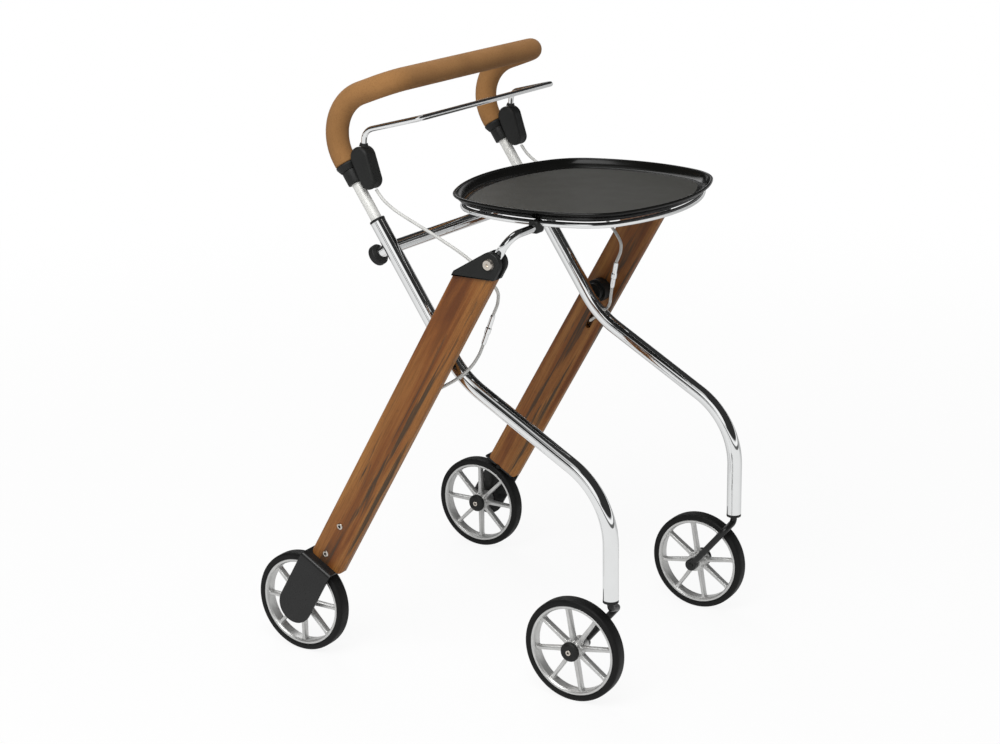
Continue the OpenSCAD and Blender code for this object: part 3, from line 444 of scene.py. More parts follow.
def start_finish(name, values):
    """New node material. Returns its Principled shader, which has the given values."""
    material = bpy.data.materials.new(name)
    material.use_nodes = True
    shader = material.node_tree.nodes["Principled BSDF"]
    plug(shader, values)
    FINISHES[name] = material
    return shader


def colour_by(shader, source, colour, low, high, last=0.7):
    """Base colour from one tint of a colour to another where the source runs from 0.3 to last."""
    plug(shader, {"Base Color": shades(source, [(0.3, tint(colour, low)), (last, tint(colour, high))])})


def roughness_by(shader, source, low, high, first=0.3, last=0.7):
    """Roughness from low to high where the source runs from first to last."""
    plug(shader, {"Roughness": between(source, first, last, low, high)})


def raise_by(shader, height, depth, strength):
    """Bump of a given depth in millimetres on the shader."""
    node = shader.id_data.nodes.new("ShaderNodeBump")
    plug(node, {"Strength": strength, "Distance": depth * MM, "Height": height})
    plug(shader, {"Normal": node.outputs["Normal"]})


def make_finishes(colours):
    """All finishes of the walker, from the colours that the panel shows."""
    chrome_finish(colours.chrome)
    satin_finish(colours.handle_tube)
    bolt_finish(colours.bolts)
    plastic_finish(colours.plastic)
    sheet_finish(colours.brackets)
    foam_finish(colours.grip)
    wood_finish(colours.wood)
    sleeve_finish(colours.cables)
    rubber_finish(colours.tyres)
    rim_finish(colours.rims)
    tray_finish(colours.tray)
    mat_finish(colours.tray_floor)


def chrome_finish(colour):
    """Polished chrome with faint wiping marks."""
    shader = start_finish("polished_chrome", {"Metallic": 1.0})
    marks = noise(place(shader), 38.0, 5.0)
    colour_by(shader, marks, colour, 0.96, 1.0)
    roughness_by(shader, marks, 0.025, 0.075, 0.35, 0.75)


def satin_finish(colour):
    """Anodised tube with a fine brushed grain along it."""
    shader = start_finish("satin_tube", {"Metallic": 0.3})
    grain = noise(place(shader, (1, 1, 0.04), 33.4), 1500.0, 3.0)
    colour_by(shader, noise(place(shader), 22.0), colour, 0.93, 1.0)
    roughness_by(shader, grain, 0.42, 0.52)
    raise_by(shader, grain, 0.01, 0.12)


def bolt_finish(colour):
    """Zinc-plated steel, slightly warm, with a fine turned grain."""
    shader = start_finish("zinc_bolts", {"Metallic": 1.0})
    cloud = noise(place(shader), 260.0, 5.0)
    colour_by(shader, cloud, colour, 0.8, 1.0)
    roughness_by(shader, cloud, 0.22, 0.4)


def plastic_finish(colour):
    """Moulded black plastic with a fine spark-eroded grain; on the floors of the screws' and axles' sockets
    it is painted shade.
    """
    shader = start_finish("moulded_plastic_and_socket_shade", {"Specular IOR Level": 0.26})
    where = place(shader)
    cloud = noise(where, 60.0)
    colour_by(shader, cloud, colour, 0.85, 1.12)
    roughness_by(shader, cloud, 0.46, 0.58)
    raise_by(shader, noise(where, 1900.0, 2.0), 0.05, 0.35)


def sheet_finish(colour):
    """Powder-coated sheet and rod with a slight orange-peel skin."""
    shader = start_finish("powder_coat", {"Specular IOR Level": 0.32})
    where = place(shader)
    peel = noise(where, 700.0, 2.0)
    colour_by(shader, noise(where, 40.0), colour, 0.88, 1.1)
    roughness_by(shader, peel, 0.27, 0.33)
    raise_by(shader, peel, 0.02, 0.2)


def foam_finish(colour):
    """Soft foam with fine open pores, whose darkened middles are painted shade in the pits, and a dry sheen.
    """
    shader = start_finish(
        "grip_foam", {"Specular IOR Level": 0.12, "Sheen Weight": 0.04, "Sheen Roughness": 0.5})
    where = place(shader)
    cells = pores(where, 820.0)
    speckle = noise(where, 420.0, 3.0)
    foam = shades(noise(where, 14.0, 3.0), [(0.3, tint(colour, 0.86)), (0.7, tint(colour, 1.08))])
    foam = over(between(speckle, 0.5, 0.72, 0.0, 0.35), foam, tint(colour, 0.62))
    # Painted shade: the pores' middles, where the bump sinks, are darkened
    foam = over(between(cells, 0.0, 0.45, 0.35, 0.0), foam, tint(colour, 0.45))
    plug(shader, {"Base Color": foam})
    roughness_by(shader, speckle, 0.78, 0.92)
    raise_by(shader, cells, 0.22, 0.5)


def wood_finish(colour):
    """Satin stained hardwood: broad bands of red and brown, dark heart streaks, fine grain and short pores,
    all drawn out along the planks, which lean by 30 degrees."""
    shader = start_finish(
        "stained_wood", {"Specular IOR Level": 0.25, "Coat Weight": 0.04, "Coat Roughness": 0.3})
    lean = -30
    bands = noise(place(shader, (1, 1, 0.07), lean), 40.0, 3.0, 0.5, 0.6)
    streaks = noise(place(shader, (1, 1, 0.05), lean, (0.0, 0.81, 0.0)), 80.0, 4.0, 0.6, 0.7)
    grain = noise(place(shader, (1, 1, 0.02), lean), 620.0, 4.0, 0.6)
    flecks = noise(place(shader, (1, 1, 0.06), lean), 1500.0, 2.0)
    wood = shades(bands, [
        (0.34, tint(colour, 0.45, 0.33, 0.30)), (0.45, tint(colour, 0.78, 0.66, 0.58)),
        (0.53, tint(colour, 1.0)), (0.64, tint(colour, 1.25, 1.35, 1.4)),
    ])
    for pattern, low, high, share, dark in (
        (streaks, 0.535, 0.625, 0.92, (0.16, 0.30, 0.75)), (grain, 0.42, 0.7, 0.5, (0.42, 0.40, 0.45)),
        (flecks, 0.6, 0.74, 0.55, (0.22, 0.22, 0.3)),
    ):
        wood = over(between(pattern, low, high, 0.0, share), wood, tint(colour, *dark))
    plug(shader, {"Base Color": wood})
    roughness_by(shader, grain, 0.36, 0.52)
    raise_by(shader, grain, 0.05, 0.35)


def sleeve_finish(colour):
    """Grey plastic sleeve of the brake cables, with the wound wire just showing through."""
    shader = start_finish("cable_sleeve", {"Specular IOR Level": 0.5})
    where = place(shader)
    cloud = noise(where, 70.0)
    colour_by(shader, cloud, colour, 0.9, 1.08)
    roughness_by(shader, cloud, 0.3, 0.42)
    raise_by(shader, noise(where, 900.0, 1.0), 0.03, 0.3)


def rubber_finish(colour):
    """Matte rubber with a dusty bloom."""
    shader = start_finish("tyre_rubber", {"Specular IOR Level": 0.2})
    where = place(shader)
    bloom = noise(where, 45.0, 5.0)
    colour_by(shader, bloom, colour, 0.8, 1.3, 0.75)
    roughness_by(shader, bloom, 0.5, 0.68)
    raise_by(shader, noise(where, 1300.0, 3.0), 0.05, 0.4)


def rim_finish(colour):
    """Silver paint on moulded rims, with fine flakes."""
    shader = start_finish("rim_silver", {"Metallic": 0.75})
    where = place(shader)
    flakes = noise(where, 2600.0, 2.0)
    paint = shades(noise(where, 50.0), [(0.3, tint(colour, 0.92)), (0.7, tint(colour, 1.05))])
    paint = over(between(flakes, 0.55, 0.75, 0.0, 0.5), paint, tint(colour, 1.25))
    plug(shader, {"Base Color": paint})
    roughness_by(shader, flakes, 0.32, 0.44)


def tray_finish(colour):
    """Gloss black lacquer of the tray's wall."""
    shader = start_finish(
        "tray_gloss", {"Specular IOR Level": 0.16, "Coat Weight": 0.02, "Coat Roughness": 0.06})
    cloud = noise(place(shader), 16.0)
    colour_by(shader, cloud, colour, 0.85, 1.15)
    roughness_by(shader, cloud, 0.16, 0.24)


def mat_finish(colour):
    """Slip-proof matte floor of the tray, with a fine pebbled skin."""
    shader = start_finish("tray_floor", {"Specular IOR Level": 0.3})
    where = place(shader)
    cloud = noise(where, 30.0, 5.0)
    colour_by(shader, cloud, colour, 0.95, 1.05)
    roughness_by(shader, cloud, 0.56, 0.62)
    raise_by(shader, pores(where, 900.0), 0.08, 0.4)


# Shapes of the pieces


def crossbar_shell(radius, wall):
    """Tube across the walker whose ends are scooped to the front tubes: at a distance d from a tube's middle
    the end lies at TUBE_X - sqrt(R^2 - d^2)."""
    tube_r = 11.1
    angle = np.linspace(0, 2 * np.pi, 64, endpoint=False)
    rims = []
    for r in (radius, radius - wall):
        yz = CROSSBAR_AT + r * np.stack([np.cos(angle), np.sin(angle)], axis=1)
        off = (yz - TUBE_TOP[1:]) @ TUBE_FORE[1:]
        end = TUBE_X - np.sqrt(np.maximum(tube_r**2 - off**2, 0))
        rims.append([np.concatenate([(sign * end)[:, None], yz], axis=1) for sign in (-1, 1)])
    (outer_low, outer_high), (inner_low, inner_high) = rims
    return skin(np.stack([outer_low, outer_high, inner_high, inner_low]), wrap_u=True)


def on_tube(front, along, x=TUBE_X):
    """Point in front of the left tube's middle and up along it from its top end."""
    return np.array([x, 0, 0]) + TUBE_TOP * [0, 1, 1] + front * TUBE_FORE + along * TUBE_UP


def housing_shells():
    """Two cheeks with rounded rims, a core with the lever's slot between them, and a sleeve on the tube. A
    cheek's outline runs round two circles: the outer tangents touch where the normal makes the angle
    acos((low_r - pin_r) / distance) with the line from the lower centre to the pin."""
    pin, pin_r = LEVER_PIN[1:], 15
    low, low_r = on_tube(24, 53)[1:], 12.5
    inside, half_gap, half_width = 0.4, 5.4, 12
    run = pin - low
    lean = np.degrees(np.arctan2(run[1], run[0]))
    spread = np.degrees(np.arccos((low_r - pin_r) / np.linalg.norm(run)))
    outline = np.concatenate([
        arc(pin, pin_r, lean - spread, lean + spread, 28),
        arc(low, low_r, lean + spread, lean + 360 - spread, 28),
    ])
    core = np.concatenate([
        arc(pin, pin_r - inside, lean - spread, 59, 12), arc(pin, 8.5, 44.5, -228, 40),
        arc(pin, pin_r - inside, 116, lean + spread, 10),
        arc(low, low_r - inside, lean + spread, lean + 360 - spread, 24),
    ])
    sleeve = rounded_outline([[8.1, 60.8], [12.5, 60.8], [12.5, 80.8], [8.1, 80.8]], [0.2, 1.2, 0.6, 0.2])
    return [
        slab(outline, TUBE_X - half_width, TUBE_X - half_gap, 4.5, 0.3),
        slab(outline, TUBE_X + half_gap, TUBE_X + half_width, 0.3, 4.5),
        slab(core, TUBE_X - half_gap - 0.2, TUBE_X + half_gap + 0.2, 0.2, 0.2, 2),
        turned(sleeve, TUBE_TOP, TUBE_UP, X_AXIS),
    ]


def cap_shells():
    """Two ears with rounded rims and the block between them, cut away where the tray's arm swings."""
    eye_r, inner_ear, outer_ear, gap = 16.0, (224.75, 232.6), (241.4, 249.25), (232.4, 241.6)
    back_low, back_top = np.array([-62.21, 602.0]), np.array([-66.25, 609.0])
    front_low = np.array([-129.18, 602.0])
    to_top, to_front = back_top - CLEVIS, front_low - CLEVIS
    slant = np.degrees(np.arctan2(to_top[1], to_top[0]) + np.arccos(eye_r / np.linalg.norm(to_top)))
    fall = np.degrees(np.arctan2(to_front[1], to_front[0]) - np.arccos(eye_r / np.linalg.norm(to_front)))
    eye = arc(CLEVIS, eye_r, slant, fall + 360, 40)
    corners = corner_arcs(
        np.array([CLEVIS + [-12, -12], front_low, back_low]), np.array([front_low, back_low, back_top]),
        np.array([back_low, back_top, eye[0]]), [1.5, 1.0, 3.0], 6,
    )
    outline = np.concatenate([corners.reshape(-1, 2), eye])
    core = np.concatenate([
        [front_low + [0.4, 0], back_low + [-0.4, 0], back_top + [-0.4, 0]],
        arc(CLEVIS, eye_r - 0.3, slant, 84, 8), arc(CLEVIS, 9.8, 84, -128, 40),
    ])
    return [
        slab(outline, *inner_ear, 2.2, 0.6), slab(outline, *outer_ear, 0.6, 2.2),
        slab(core, *gap, 0.2, 0.2, 2),
    ]


def bracket_grid():
    """Middle surface of the folded wheel bracket. One way runs along the sheet from the plank over the fold
    and down the plate, whose end is a half circle about the axle; the other way runs across it. The edge at
    the plank has a notch for the brake pad: there the sheet starts at pad_x + sqrt(R^2 - d^2)."""
    half, fold_r, plate_x, flange_u = 28.0, 4.0, 259.5, 81.5
    pad_x, notch_r = 232.95, 5.5
    across = np.concatenate([
        np.linspace(-half, -notch_r - 0.05, 12), np.linspace(-notch_r, notch_r, 25),
        np.linspace(notch_r + 0.05, half, 12),
    ])
    start = np.where(np.abs(across) <= notch_r,
                     pad_x + np.sqrt(np.maximum(notch_r**2 - across**2, 0)), 229.2)
    lead = np.linspace(0, 1, 12)[:, None]
    flange_x = start + lead * (plate_x - fold_r - start)
    flange = np.stack([flange_x, 0 * flange_x + across, np.full(flange_x.shape, flange_u)], -1)
    turn = np.linspace(0, np.pi / 2, 9)[1:, None] + 0 * across
    fold = np.stack([plate_x - fold_r + fold_r * np.sin(turn), 0 * turn + across,
                     flange_u - fold_r + fold_r * np.cos(turn)], -1)
    drop = np.linspace(flange_u - fold_r, 0, 8)[1:, None] + 0 * across
    plate = np.stack([0 * drop + plate_x, 0 * drop + across, drop], -1)
    swing = np.linspace(0, np.radians(87), 20)[1:, None]
    end = np.stack([np.full((19, len(across)), plate_x), np.cos(swing) * across,
                    -half * np.sin(swing) + 0 * across], -1)
    grid = np.concatenate([flange, fold, plate, end])
    base = PLANK_FOOT + grid[..., 2:] * PLANK_UP + (PLANK_SET + grid[..., 1:2]) * PLANK_BACK
    return base + grid[..., :1] * X_AXIS


def screw_shells():
    """Heads of the screws on the planks, each turned from a button profile round a socket, and the floors of
    the sockets, finished black as painted shade in the sockets."""
    head = rounded_outline([[2.3, -7], [2.5, -7], [2.5, 0.05], [5, 0.05], [4.7, 1.0], [3.6, 1.6], [2.3, 1.6]],
                           [0.05, 0.05, 0.05, 0.2, 0.5, 0.5, 0.2])
    floor = np.array([[2.3, -1.0], [2.3, 0.5], [0.1, 0.5]])
    heads, shaded_socket_floors = [], []
    for along in (97.08, 151.63):
        origin = PLANK_FOOT + along * PLANK_UP + PLANK_SET * PLANK_BACK + [PLANK_OUT_X, 0, 0]
        for shells, profile, closed in ((heads, head, True), (shaded_socket_floors, floor, False)):
            shell = turned(profile, origin, X_AXIS, Z_AXIS, 32, closed)
            shells += [shell, mirrored(shell)]
    return heads, shaded_socket_floors


def axle_shells(start, axis, length):
    """Axle from start along axis: a tube, and a core that covers the tube's start and stops short of its end
    as the floor of a socket; the core is finished black as painted shade in the socket and the tube's bore."""
    socket = length - 0.8
    tube = rounded_outline([[1.7, 1.5], [4, 1.5], [4, length], [1.7, length]], [0.1, 0.1, 0.6, 0.1])
    core = np.array([[0.1, 0], [4, 0], [4, 1.45], [3.6, 1.8], [1.8, 1.8], [1.8, socket], [0.1, socket]])
    return [turned(tube, start, axis, Z_AXIS, 40)], [turned(core, start, axis, Z_AXIS, 40, closed=False)]


def wheel_shells(origin, axis, first):
    """Tyre, rim and hub cap in the wheel's own frame, whose height runs along the axle away from the carrier.
    A spoke is a deep bar carried outwards from the hub: its half width falls from hub to rim and flares at
    both ends, and its sides close in towards both faces. The first spoke is turned by an angle in degrees."""
    tyre, barrel = (
        rounded_outline(half + [[r, -h] for r, h in half[::-1]], radii + radii[::-1])
        for half, radii in (
            ([[65.5, -9.4], [67.4, -10.5], [74.6, -10.5], [75, -3.5]], [0.4, 1.2, 3.8, 8]),
            ([[60.4, -6.5], [62.4, -9.5], [65.4, -9.5]], [1.2, 0.9, 0.5]),
        )
    )
    hub = rounded_outline([[4.05, -19.6], [13, -19.6], [13, 11], [4.05, 11]], [0.3, 1.5, 0.6, 0.3])
    cap = rounded_outline(
        [[4.1, 11], [14, 11], [14, 14.6], [12.6, 16.6], [10, 18], [4.1, 18]], [0.2, 0.2, 1.6, 1.8, 2.4, 0.6])
    rim = [turned(barrel, origin, axis, Z_AXIS, 128), turned(hub, origin, axis, Z_AXIS)]
    root, tip, hub_r, rim_r = 9, 62, 13, 60.4
    out = np.linspace(root, tip, 26)
    half = 3.25 - 0.75 * (out - root) / (tip - root)
    half = half + 1.4 * np.exp((hub_r - out) / 2.2) + 1.2 * np.exp((out - rim_r) / 1.8)
    side = np.stack([half, half - 0.1, half - 0.45, half - 0.75, half - 1.15], axis=1)
    height = np.array([0.0, 2.5, 4.4, 4.8, 5.0])
    across = np.concatenate([side[:, 1:], -side[:, ::-1], -side[:, 1:], side[:, ::-1]], axis=1)
    up = np.concatenate([height[1:], height[::-1], -height[1:], -height[::-1]]) - 1.0
    for k in range(8):
        turn = np.radians(first + 45 * k)
        ray = np.cos(turn) * Z_AXIS + np.sin(turn) * np.cross(axis, Z_AXIS)
        edge = np.cross(axis, ray)
        spoke = out[:, None, None] * ray + across[..., None] * edge + up[None, :, None] * axis
        rim.append(skin(origin + spoke))
    return ([turned(tyre, origin, axis, Z_AXIS, 144)], rim, [turned(cap, origin, axis, Z_AXIS)])


def tray_lines():
    """Centre, radius and direction of each point of the tray's outline: long arcs at the sides and the ends,
    and corner arcs whose centres lie on circles about the long arcs' centres."""
    half_length, side_r = 186.0, 260.0
    half_width, end_r = 166.0, 290.0
    corner_r = 88.0
    side_c, end_c = half_length - side_r, half_width - end_r
    apart = np.hypot(side_c, end_c)
    foot = ((side_r - corner_r) ** 2 - (end_r - corner_r) ** 2 + apart**2) / (2 * apart)
    rise = np.sqrt((side_r - corner_r) ** 2 - foot**2)
    axis = np.array([-side_c, end_c]) / apart
    corner = np.array([side_c, 0]) + foot * axis + rise * np.array([-axis[1], axis[0]])
    first = np.arctan2(corner[1], corner[0] - side_c)
    last = np.arctan2(corner[1] - end_c, corner[0])
    arcs = [
        ([side_c, 0.0], side_r, np.linspace(0, first, 14, endpoint=False)),
        (corner, corner_r, np.linspace(first, last, 20, endpoint=False)),
        ([0.0, end_c], end_r, np.linspace(last, np.pi / 2, 11)),
    ]
    quarter = np.concatenate([
        np.stack(np.broadcast_arrays(*centre, radius, np.cos(angle), np.sin(angle)), axis=1)
        for centre, radius, angle in arcs
    ])
    half = np.concatenate([quarter, quarter[-2::-1] * [-1, 1, 1, -1, 1]])
    whole = np.concatenate([half, half[-2:0:-1] * [1, -1, 1, 1, -1]])
    return whole[:, :2], whole[:, 2], whole[:, 3:]


def tray_ring_at(lines, inset, height):
    """The tray's outline moved inwards by inset, at a height."""
    centre, radius, way = lines
    flat = centre + (radius - inset)[:, None] * way + [0, TRAY_Y]
    return np.concatenate([flat, np.full((len(flat), 1), height)], axis=1)


def tray_shell():
    """Skin of the tray from the middle of its underside out, up the flared wall, round the rolled rim, down
    inside and back over the floor. Returns it with the number of faces before the floor."""
    lines = tray_lines()
    tilt, fillet, sheet, bead = 45.0, 14.0, 2.5, 2.2
    flare = np.radians(tilt)
    along = np.array([np.sin(flare), np.cos(flare)])
    away = np.array([np.cos(flare), -np.sin(flare)])
    bead_at = np.array([-2.2, 685.0])
    wall_l = (bead_at[1] - TRAY_UNDER_Z - fillet - (fillet - sheet / 2) * away[1]) / along[1]
    foot = bead_at - (fillet - sheet / 2) * away - wall_l * along
    meet = np.degrees(np.arccos(sheet / 2 / bead))
    turn = np.radians(np.linspace(-meet, 180 + meet, 18))[:, None]
    roll = bead_at + bead * (np.cos(turn) * away + np.sin(turn) * along)
    outer = np.concatenate([arc(foot, fillet, -90, -tilt, 10), roll])
    inner = arc(foot, fillet - sheet, -tilt, -90, 10)
    wall = np.concatenate([outer, inner, [[foot[0] - 3.0, TRAY_UNDER_Z + sheet]]])
    rings = np.stack([tray_ring_at(lines, -inset, height) for inset, height in wall])
    middle = np.array([0, TRAY_Y, 0.0])
    shares = np.array([0.02, 0.3, 0.6, 0.85])
    shrink = np.stack([shares, shares, np.ones(4)], axis=1)
    under = (rings[0] - middle) * shrink[:, None] + middle
    floor = (rings[-1] - middle) * shrink[::-1, None] + middle
    grid = np.concatenate([under, rings, floor])
    before_floor = (len(under) + len(rings) - 1) * grid.shape[1]
    return skin(grid), before_floor


def arm_shells():
    """Arm of the tray's ring: a rod that flattens towards its eye, and the eye round the clevis bolt."""
    bend_r, stations, length = 22.0, 60, 97
    flat_end, flat_over = 8.5, 12
    corners = [[PLANK_X, -128.21, 631.13], [PLANK_X, *TRAY_ARM_AT], [166.0, *TRAY_ARM_AT]]
    path = evenly(bent_path(corners, [bend_r]), stations)
    ease = np.clip((np.linspace(0, length, stations) - flat_end) / flat_over, 0, 1)
    ease = ease * ease * (3 - 2 * ease)
    path, _ = soft_ends(path, 6.0, 1.5, 4)
    ease = np.concatenate([np.zeros(4), ease[1:-1], np.ones(4)])
    end = np.ones(len(path))
    end[-4:] = np.array([1.0, 0.95, 0.85, 0.75])
    bar = rod(path, (6.5 - 1.0 * ease) * end, ref=(0.0, -0.829, -0.559), flat=(4.0 + 1.5 * ease) * end)
    eye = rounded_outline([[4.1, -4], [9, -4], [9, 4], [4.1, 4]], [0.3, 1.2, 1.2, 0.3])
    return [bar, turned(eye, [PLANK_X, *CLEVIS], X_AXIS, Z_AXIS)]


# Sizes and colours for the panel


def length_property(name, text, value):
    """Length property in metres."""
    return bpy.props.FloatProperty(name=name, description=text, default=value, unit="LENGTH")


class WalkerSizes(bpy.types.PropertyGroup):
    """Sizes of the walker's tubes and rods, in metres."""

    tube_d: length_property("Front tube", "Outer diameter of the front tubes", 0.022)
    tube_bore: length_property("Front tube bore", "Inner diameter of the front tubes", 0.019)
    shoulder_r: length_property("Shoulder bend", "Bend radius of the front tubes at the pivot", 0.140)
    knee_r: length_property("Knee bend", "Bend radius of the front tubes above the casters", 0.120)
    crossbar_d: length_property("Crossbar", "Outer diameter of the crossbar", 0.018)
    handle_d: length_property("Handle tube", "Outer diameter of the handle tube", 0.016)
    grip_d: length_property("Grip", "Diameter of the foam grip", 0.032)
    lever_d: length_property("Lever", "Diameter of the brake lever's rod", 0.008)
    cable_d: length_property("Cable", "Diameter of the brake cables", 0.0045)
    ring_d: length_property("Tray ring", "Diameter of the ring's rod", 0.008)
    fork_d: length_property("Caster fork", "Diameter of the caster forks' rods", 0.010)
    bracket_t: length_property("Bracket sheet", "Thickness of the wheel brackets' sheet", 0.003)


def radius_of(diameter):
    """Radius in millimetres of a diameter in metres."""
    return diameter / MM / 2


def colour_property(name, text, value):
    """Colour property with its default in linear light."""
    return bpy.props.FloatVectorProperty(
        name=name, description=text, default=value, subtype="COLOR", size=3, min=0.0, max=1.0)


class WalkerColours(bpy.types.PropertyGroup):
    """Colours of the walker's finishes."""

    chrome: colour_property("Chrome", "Plated tubes and rods", (0.90, 0.91, 0.91))
    handle_tube: colour_property("Handle tube", "Satin inner tube of the handle", (0.80, 0.80, 0.77))
    bolts: colour_property("Bolts", "Bolts, screws and axles", (0.74, 0.68, 0.61))
    # The plastic colour also paints the shade on the socket floors of the screws and axles
    plastic: colour_property("Plastic", "Housings, caps, knobs and hub caps", (0.013, 0.0135, 0.013))
    brackets: colour_property("Brackets", "Wheel brackets and caster forks", (0.012, 0.012, 0.012))
    grip: colour_property("Grip", "Foam of the handle", (0.310, 0.155, 0.056))
    wood: colour_property("Wood", "Stain of the wooden legs", (0.275, 0.110, 0.027))
    cables: colour_property("Cables", "Sleeves of the brake cables", (0.56, 0.56, 0.54))
    tyres: colour_property("Tyres", "Rubber of the wheels", (0.007, 0.0072, 0.007))
    rims: colour_property("Rims", "Paint of the rims", (0.62, 0.62, 0.61))
    tray: colour_property("Tray", "Lacquer of the tray", (0.006, 0.006, 0.0055))
    tray_floor: colour_property("Tray floor", "Slip-proof floor of the tray", (0.037, 0.0365, 0.031))


# Operators


class WALKER_OT_finishes(bpy.types.Operator):
    """Make the finishes of all pieces"""

    bl_idname = "walker.finishes"
    bl_label = "Finishes"

    def execute(self, context):
        make_finishes(context.scene.walker_colours)
        return {"FINISHED"}


class WALKER_OT_front_frame(bpy.types.Operator):
    """Bent front tubes, the crossbar between them and the collars in their tops"""

    bl_idname = "walker.front_frame"
    bl_label = "Front frame"

    def execute(self, context):
        sizes = context.scene.walker_sizes
        path = bent_path(TUBE_CORNERS, [sizes.shoulder_r / MM, sizes.knee_r / MM], 40)
        tube = pipe(path, radius_of(sizes.tube_d), radius_of(sizes.tube_bore), 64, X_AXIS)
        make_pair("front_tube", [tube], "polished_chrome", "frame")
        bar = crossbar_shell(radius_of(sizes.crossbar_d), 1.5)
        make_piece("crossbar_skin", [bar], "polished_chrome", "frame", "crossbar")
        profile = rounded_outline(
            [[8.05, -25], [9.4, -25], [9.4, 0], [11.2, 0], [11.2, 3.5], [8.05, 3.5]],
            [0.2, 0.2, 0.05, 0.3, 1.0, 0.4])
        make_double("tube_collar_skins", turned(profile, TUBE_TOP, TUBE_UP, X_AXIS), "frame", "tube_collars")
        return {"FINISHED"}


class WALKER_OT_handle(bpy.types.Operator):
    """Telescopic handle: inner tube, foam grip, collars and height knobs"""

    bl_idname = "walker.handle"
    bl_label = "Handle"

    def execute(self, context):
        sizes = context.scene.walker_sizes
        elbow, bar = on_tube(0, 178), np.array([TUBE_X, 66.08, 842.36])
        elbow_r, bar_r = 64, 29
        for name, start, diameter, edge, finish, node in (
            ("handle_tube_skin", -130, sizes.handle_d, 1.0, "satin_tube", "handle_tube"),
            ("grip_skin", 91, sizes.grip_d, 2.5, "grip_foam", "handle_grip"),
        ):
            foot = on_tube(0, start)
            corners = [foot, elbow, bar, bar * FLIP, elbow * FLIP, foot * FLIP]
            path = bent_path(corners, [elbow_r, bar_r, bar_r, elbow_r], 28)
            path, radii = soft_ends(path, radius_of(diameter), edge)
            make_piece(name, [rod(path, radii, 56)], finish, "handle", node)
        profile = rounded_outline(
            [[8.1, 80.9], [13.5, 80.9], [16.5, 88.4], [16.5, 90.9], [8.1, 90.9]], [0.2, 1.0, 1.0, 0.6, 0.2])
        make_double("grip_collar_skins", turned(profile, TUBE_TOP, TUBE_UP, X_AXIS), "handle", "grip_collars")
        corners = np.array([[3.9, 20.4], [9.5, 20.4], [15, 23.4], [15, 33], [9, 33], [7, 31.8]])
        rounds = corner_arcs(corners[:-2], corners[1:-1], corners[2:], [1, 2.2, 3.4, 1.0], 8)
        knob = np.concatenate(
            [[[3.9, 11.4]], corners[:1], rounds.reshape(-1, 2), corners[-1:], [[1.0, 31.4]]])
        shell = turned(knob, on_tube(0, -39), -TUBE_FORE, X_AXIS, closed=False)
        make_pair("height_knob", [shell], "moulded_plastic_and_socket_shade", "knob_{}")
        return {"FINISHED"}


class WALKER_OT_brake_lever(bpy.types.Operator):
    """Brake lever: the bent rod and the two housings that hold its pins"""

    bl_idname = "walker.brake_lever"
    bl_label = "Brake lever"

    def execute(self, context):
        foot, elbow = LEVER_PIN + [0, -0.63, 5.97], np.array([TUBE_X, 114.09, 771.66])
        corner, bend_r = np.array([TUBE_X - 18, 28.90, 793.69]), 17
        corners = [foot, elbow, corner, corner * FLIP, elbow * FLIP, foot * FLIP]
        path = bent_path(corners, [bend_r] * 4, 20)
        bar = rod(path, radius_of(context.scene.walker_sizes.lever_d), 32)
        profile = rounded_outline([[2.6, -5], [8, -5], [8, 5], [2.6, 5]], [0.2, 0.8, 0.8, 0.2])
        eye = turned(profile, LEVER_PIN, X_AXIS, Z_AXIS)
        make_piece("lever_skin", [bar, eye, mirrored(eye)], "polished_chrome", "brake_lever", "lever_bar")
        make_pair("lever_housing", housing_shells(), "moulded_plastic_and_socket_shade", "handle")
        return {"FINISHED"}


class WALKER_OT_cables(bpy.types.Operator):
    """Brake cables, laid in place on no body, so that they stay still when the handle or the legs move"""

    bl_idname = "walker.cables"
    bl_label = "Brake cables"

    def execute(self, context):
        radius = radius_of(context.scene.walker_sizes.cable_d)
        for stem, route, bodies in (
            ("upper_cable", UPPER_ROUTE, ("handle", "frame")),
            ("lower_cable", LOWER_ROUTE, ("frame", "legs")),
        ):
            shell = rod(smooth_route(route, 10), radius, 20, X_AXIS)
            for piece, sign in make_pair(stem, [shell], "cable_sleeve", None):
                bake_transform(piece)
        return {"FINISHED"}


class WALKER_OT_wooden_legs(bpy.types.Operator):
    """Wooden legs: stained planks with their screws, black caps and folded wheel brackets"""

    bl_idname = "walker.wooden_legs"
    bl_label = "Wooden legs"

    def execute(self, context):
        dress("stained_wood", *both("leg_plank"))
        make_pair("leg_cap", cap_shells(), "moulded_plastic_and_socket_shade", "legs")
        heads, shaded_socket_floors = screw_shells()
        screws = make_piece("bracket_screw_skins", heads + shaded_socket_floors, "zinc_bolts", "legs", "bracket_screws")
        # The socket floors take the black plastic finish: painted shade in the screws' sockets
        second_finish(screws, "moulded_plastic_and_socket_shade", sum(len(faces) for _, faces in heads))
        sheet = skin(bracket_grid(), wrap_v=False, caps=False)
        for piece, _ in make_pair("wheel_bracket", [sheet], "powder_coat", "legs"):
            thick = piece.modifiers.new("Sheet", "SOLIDIFY")
            thick.thickness = context.scene.walker_sizes.bracket_t
            thick.offset = 0.0
            edge = piece.modifiers.new("Edges", "BEVEL")
            edge.width = 0.6 * MM
            edge.segments = 2
            edge.limit_method = "ANGLE"
            edge.angle_limit = np.radians(50)
        return {"FINISHED"}


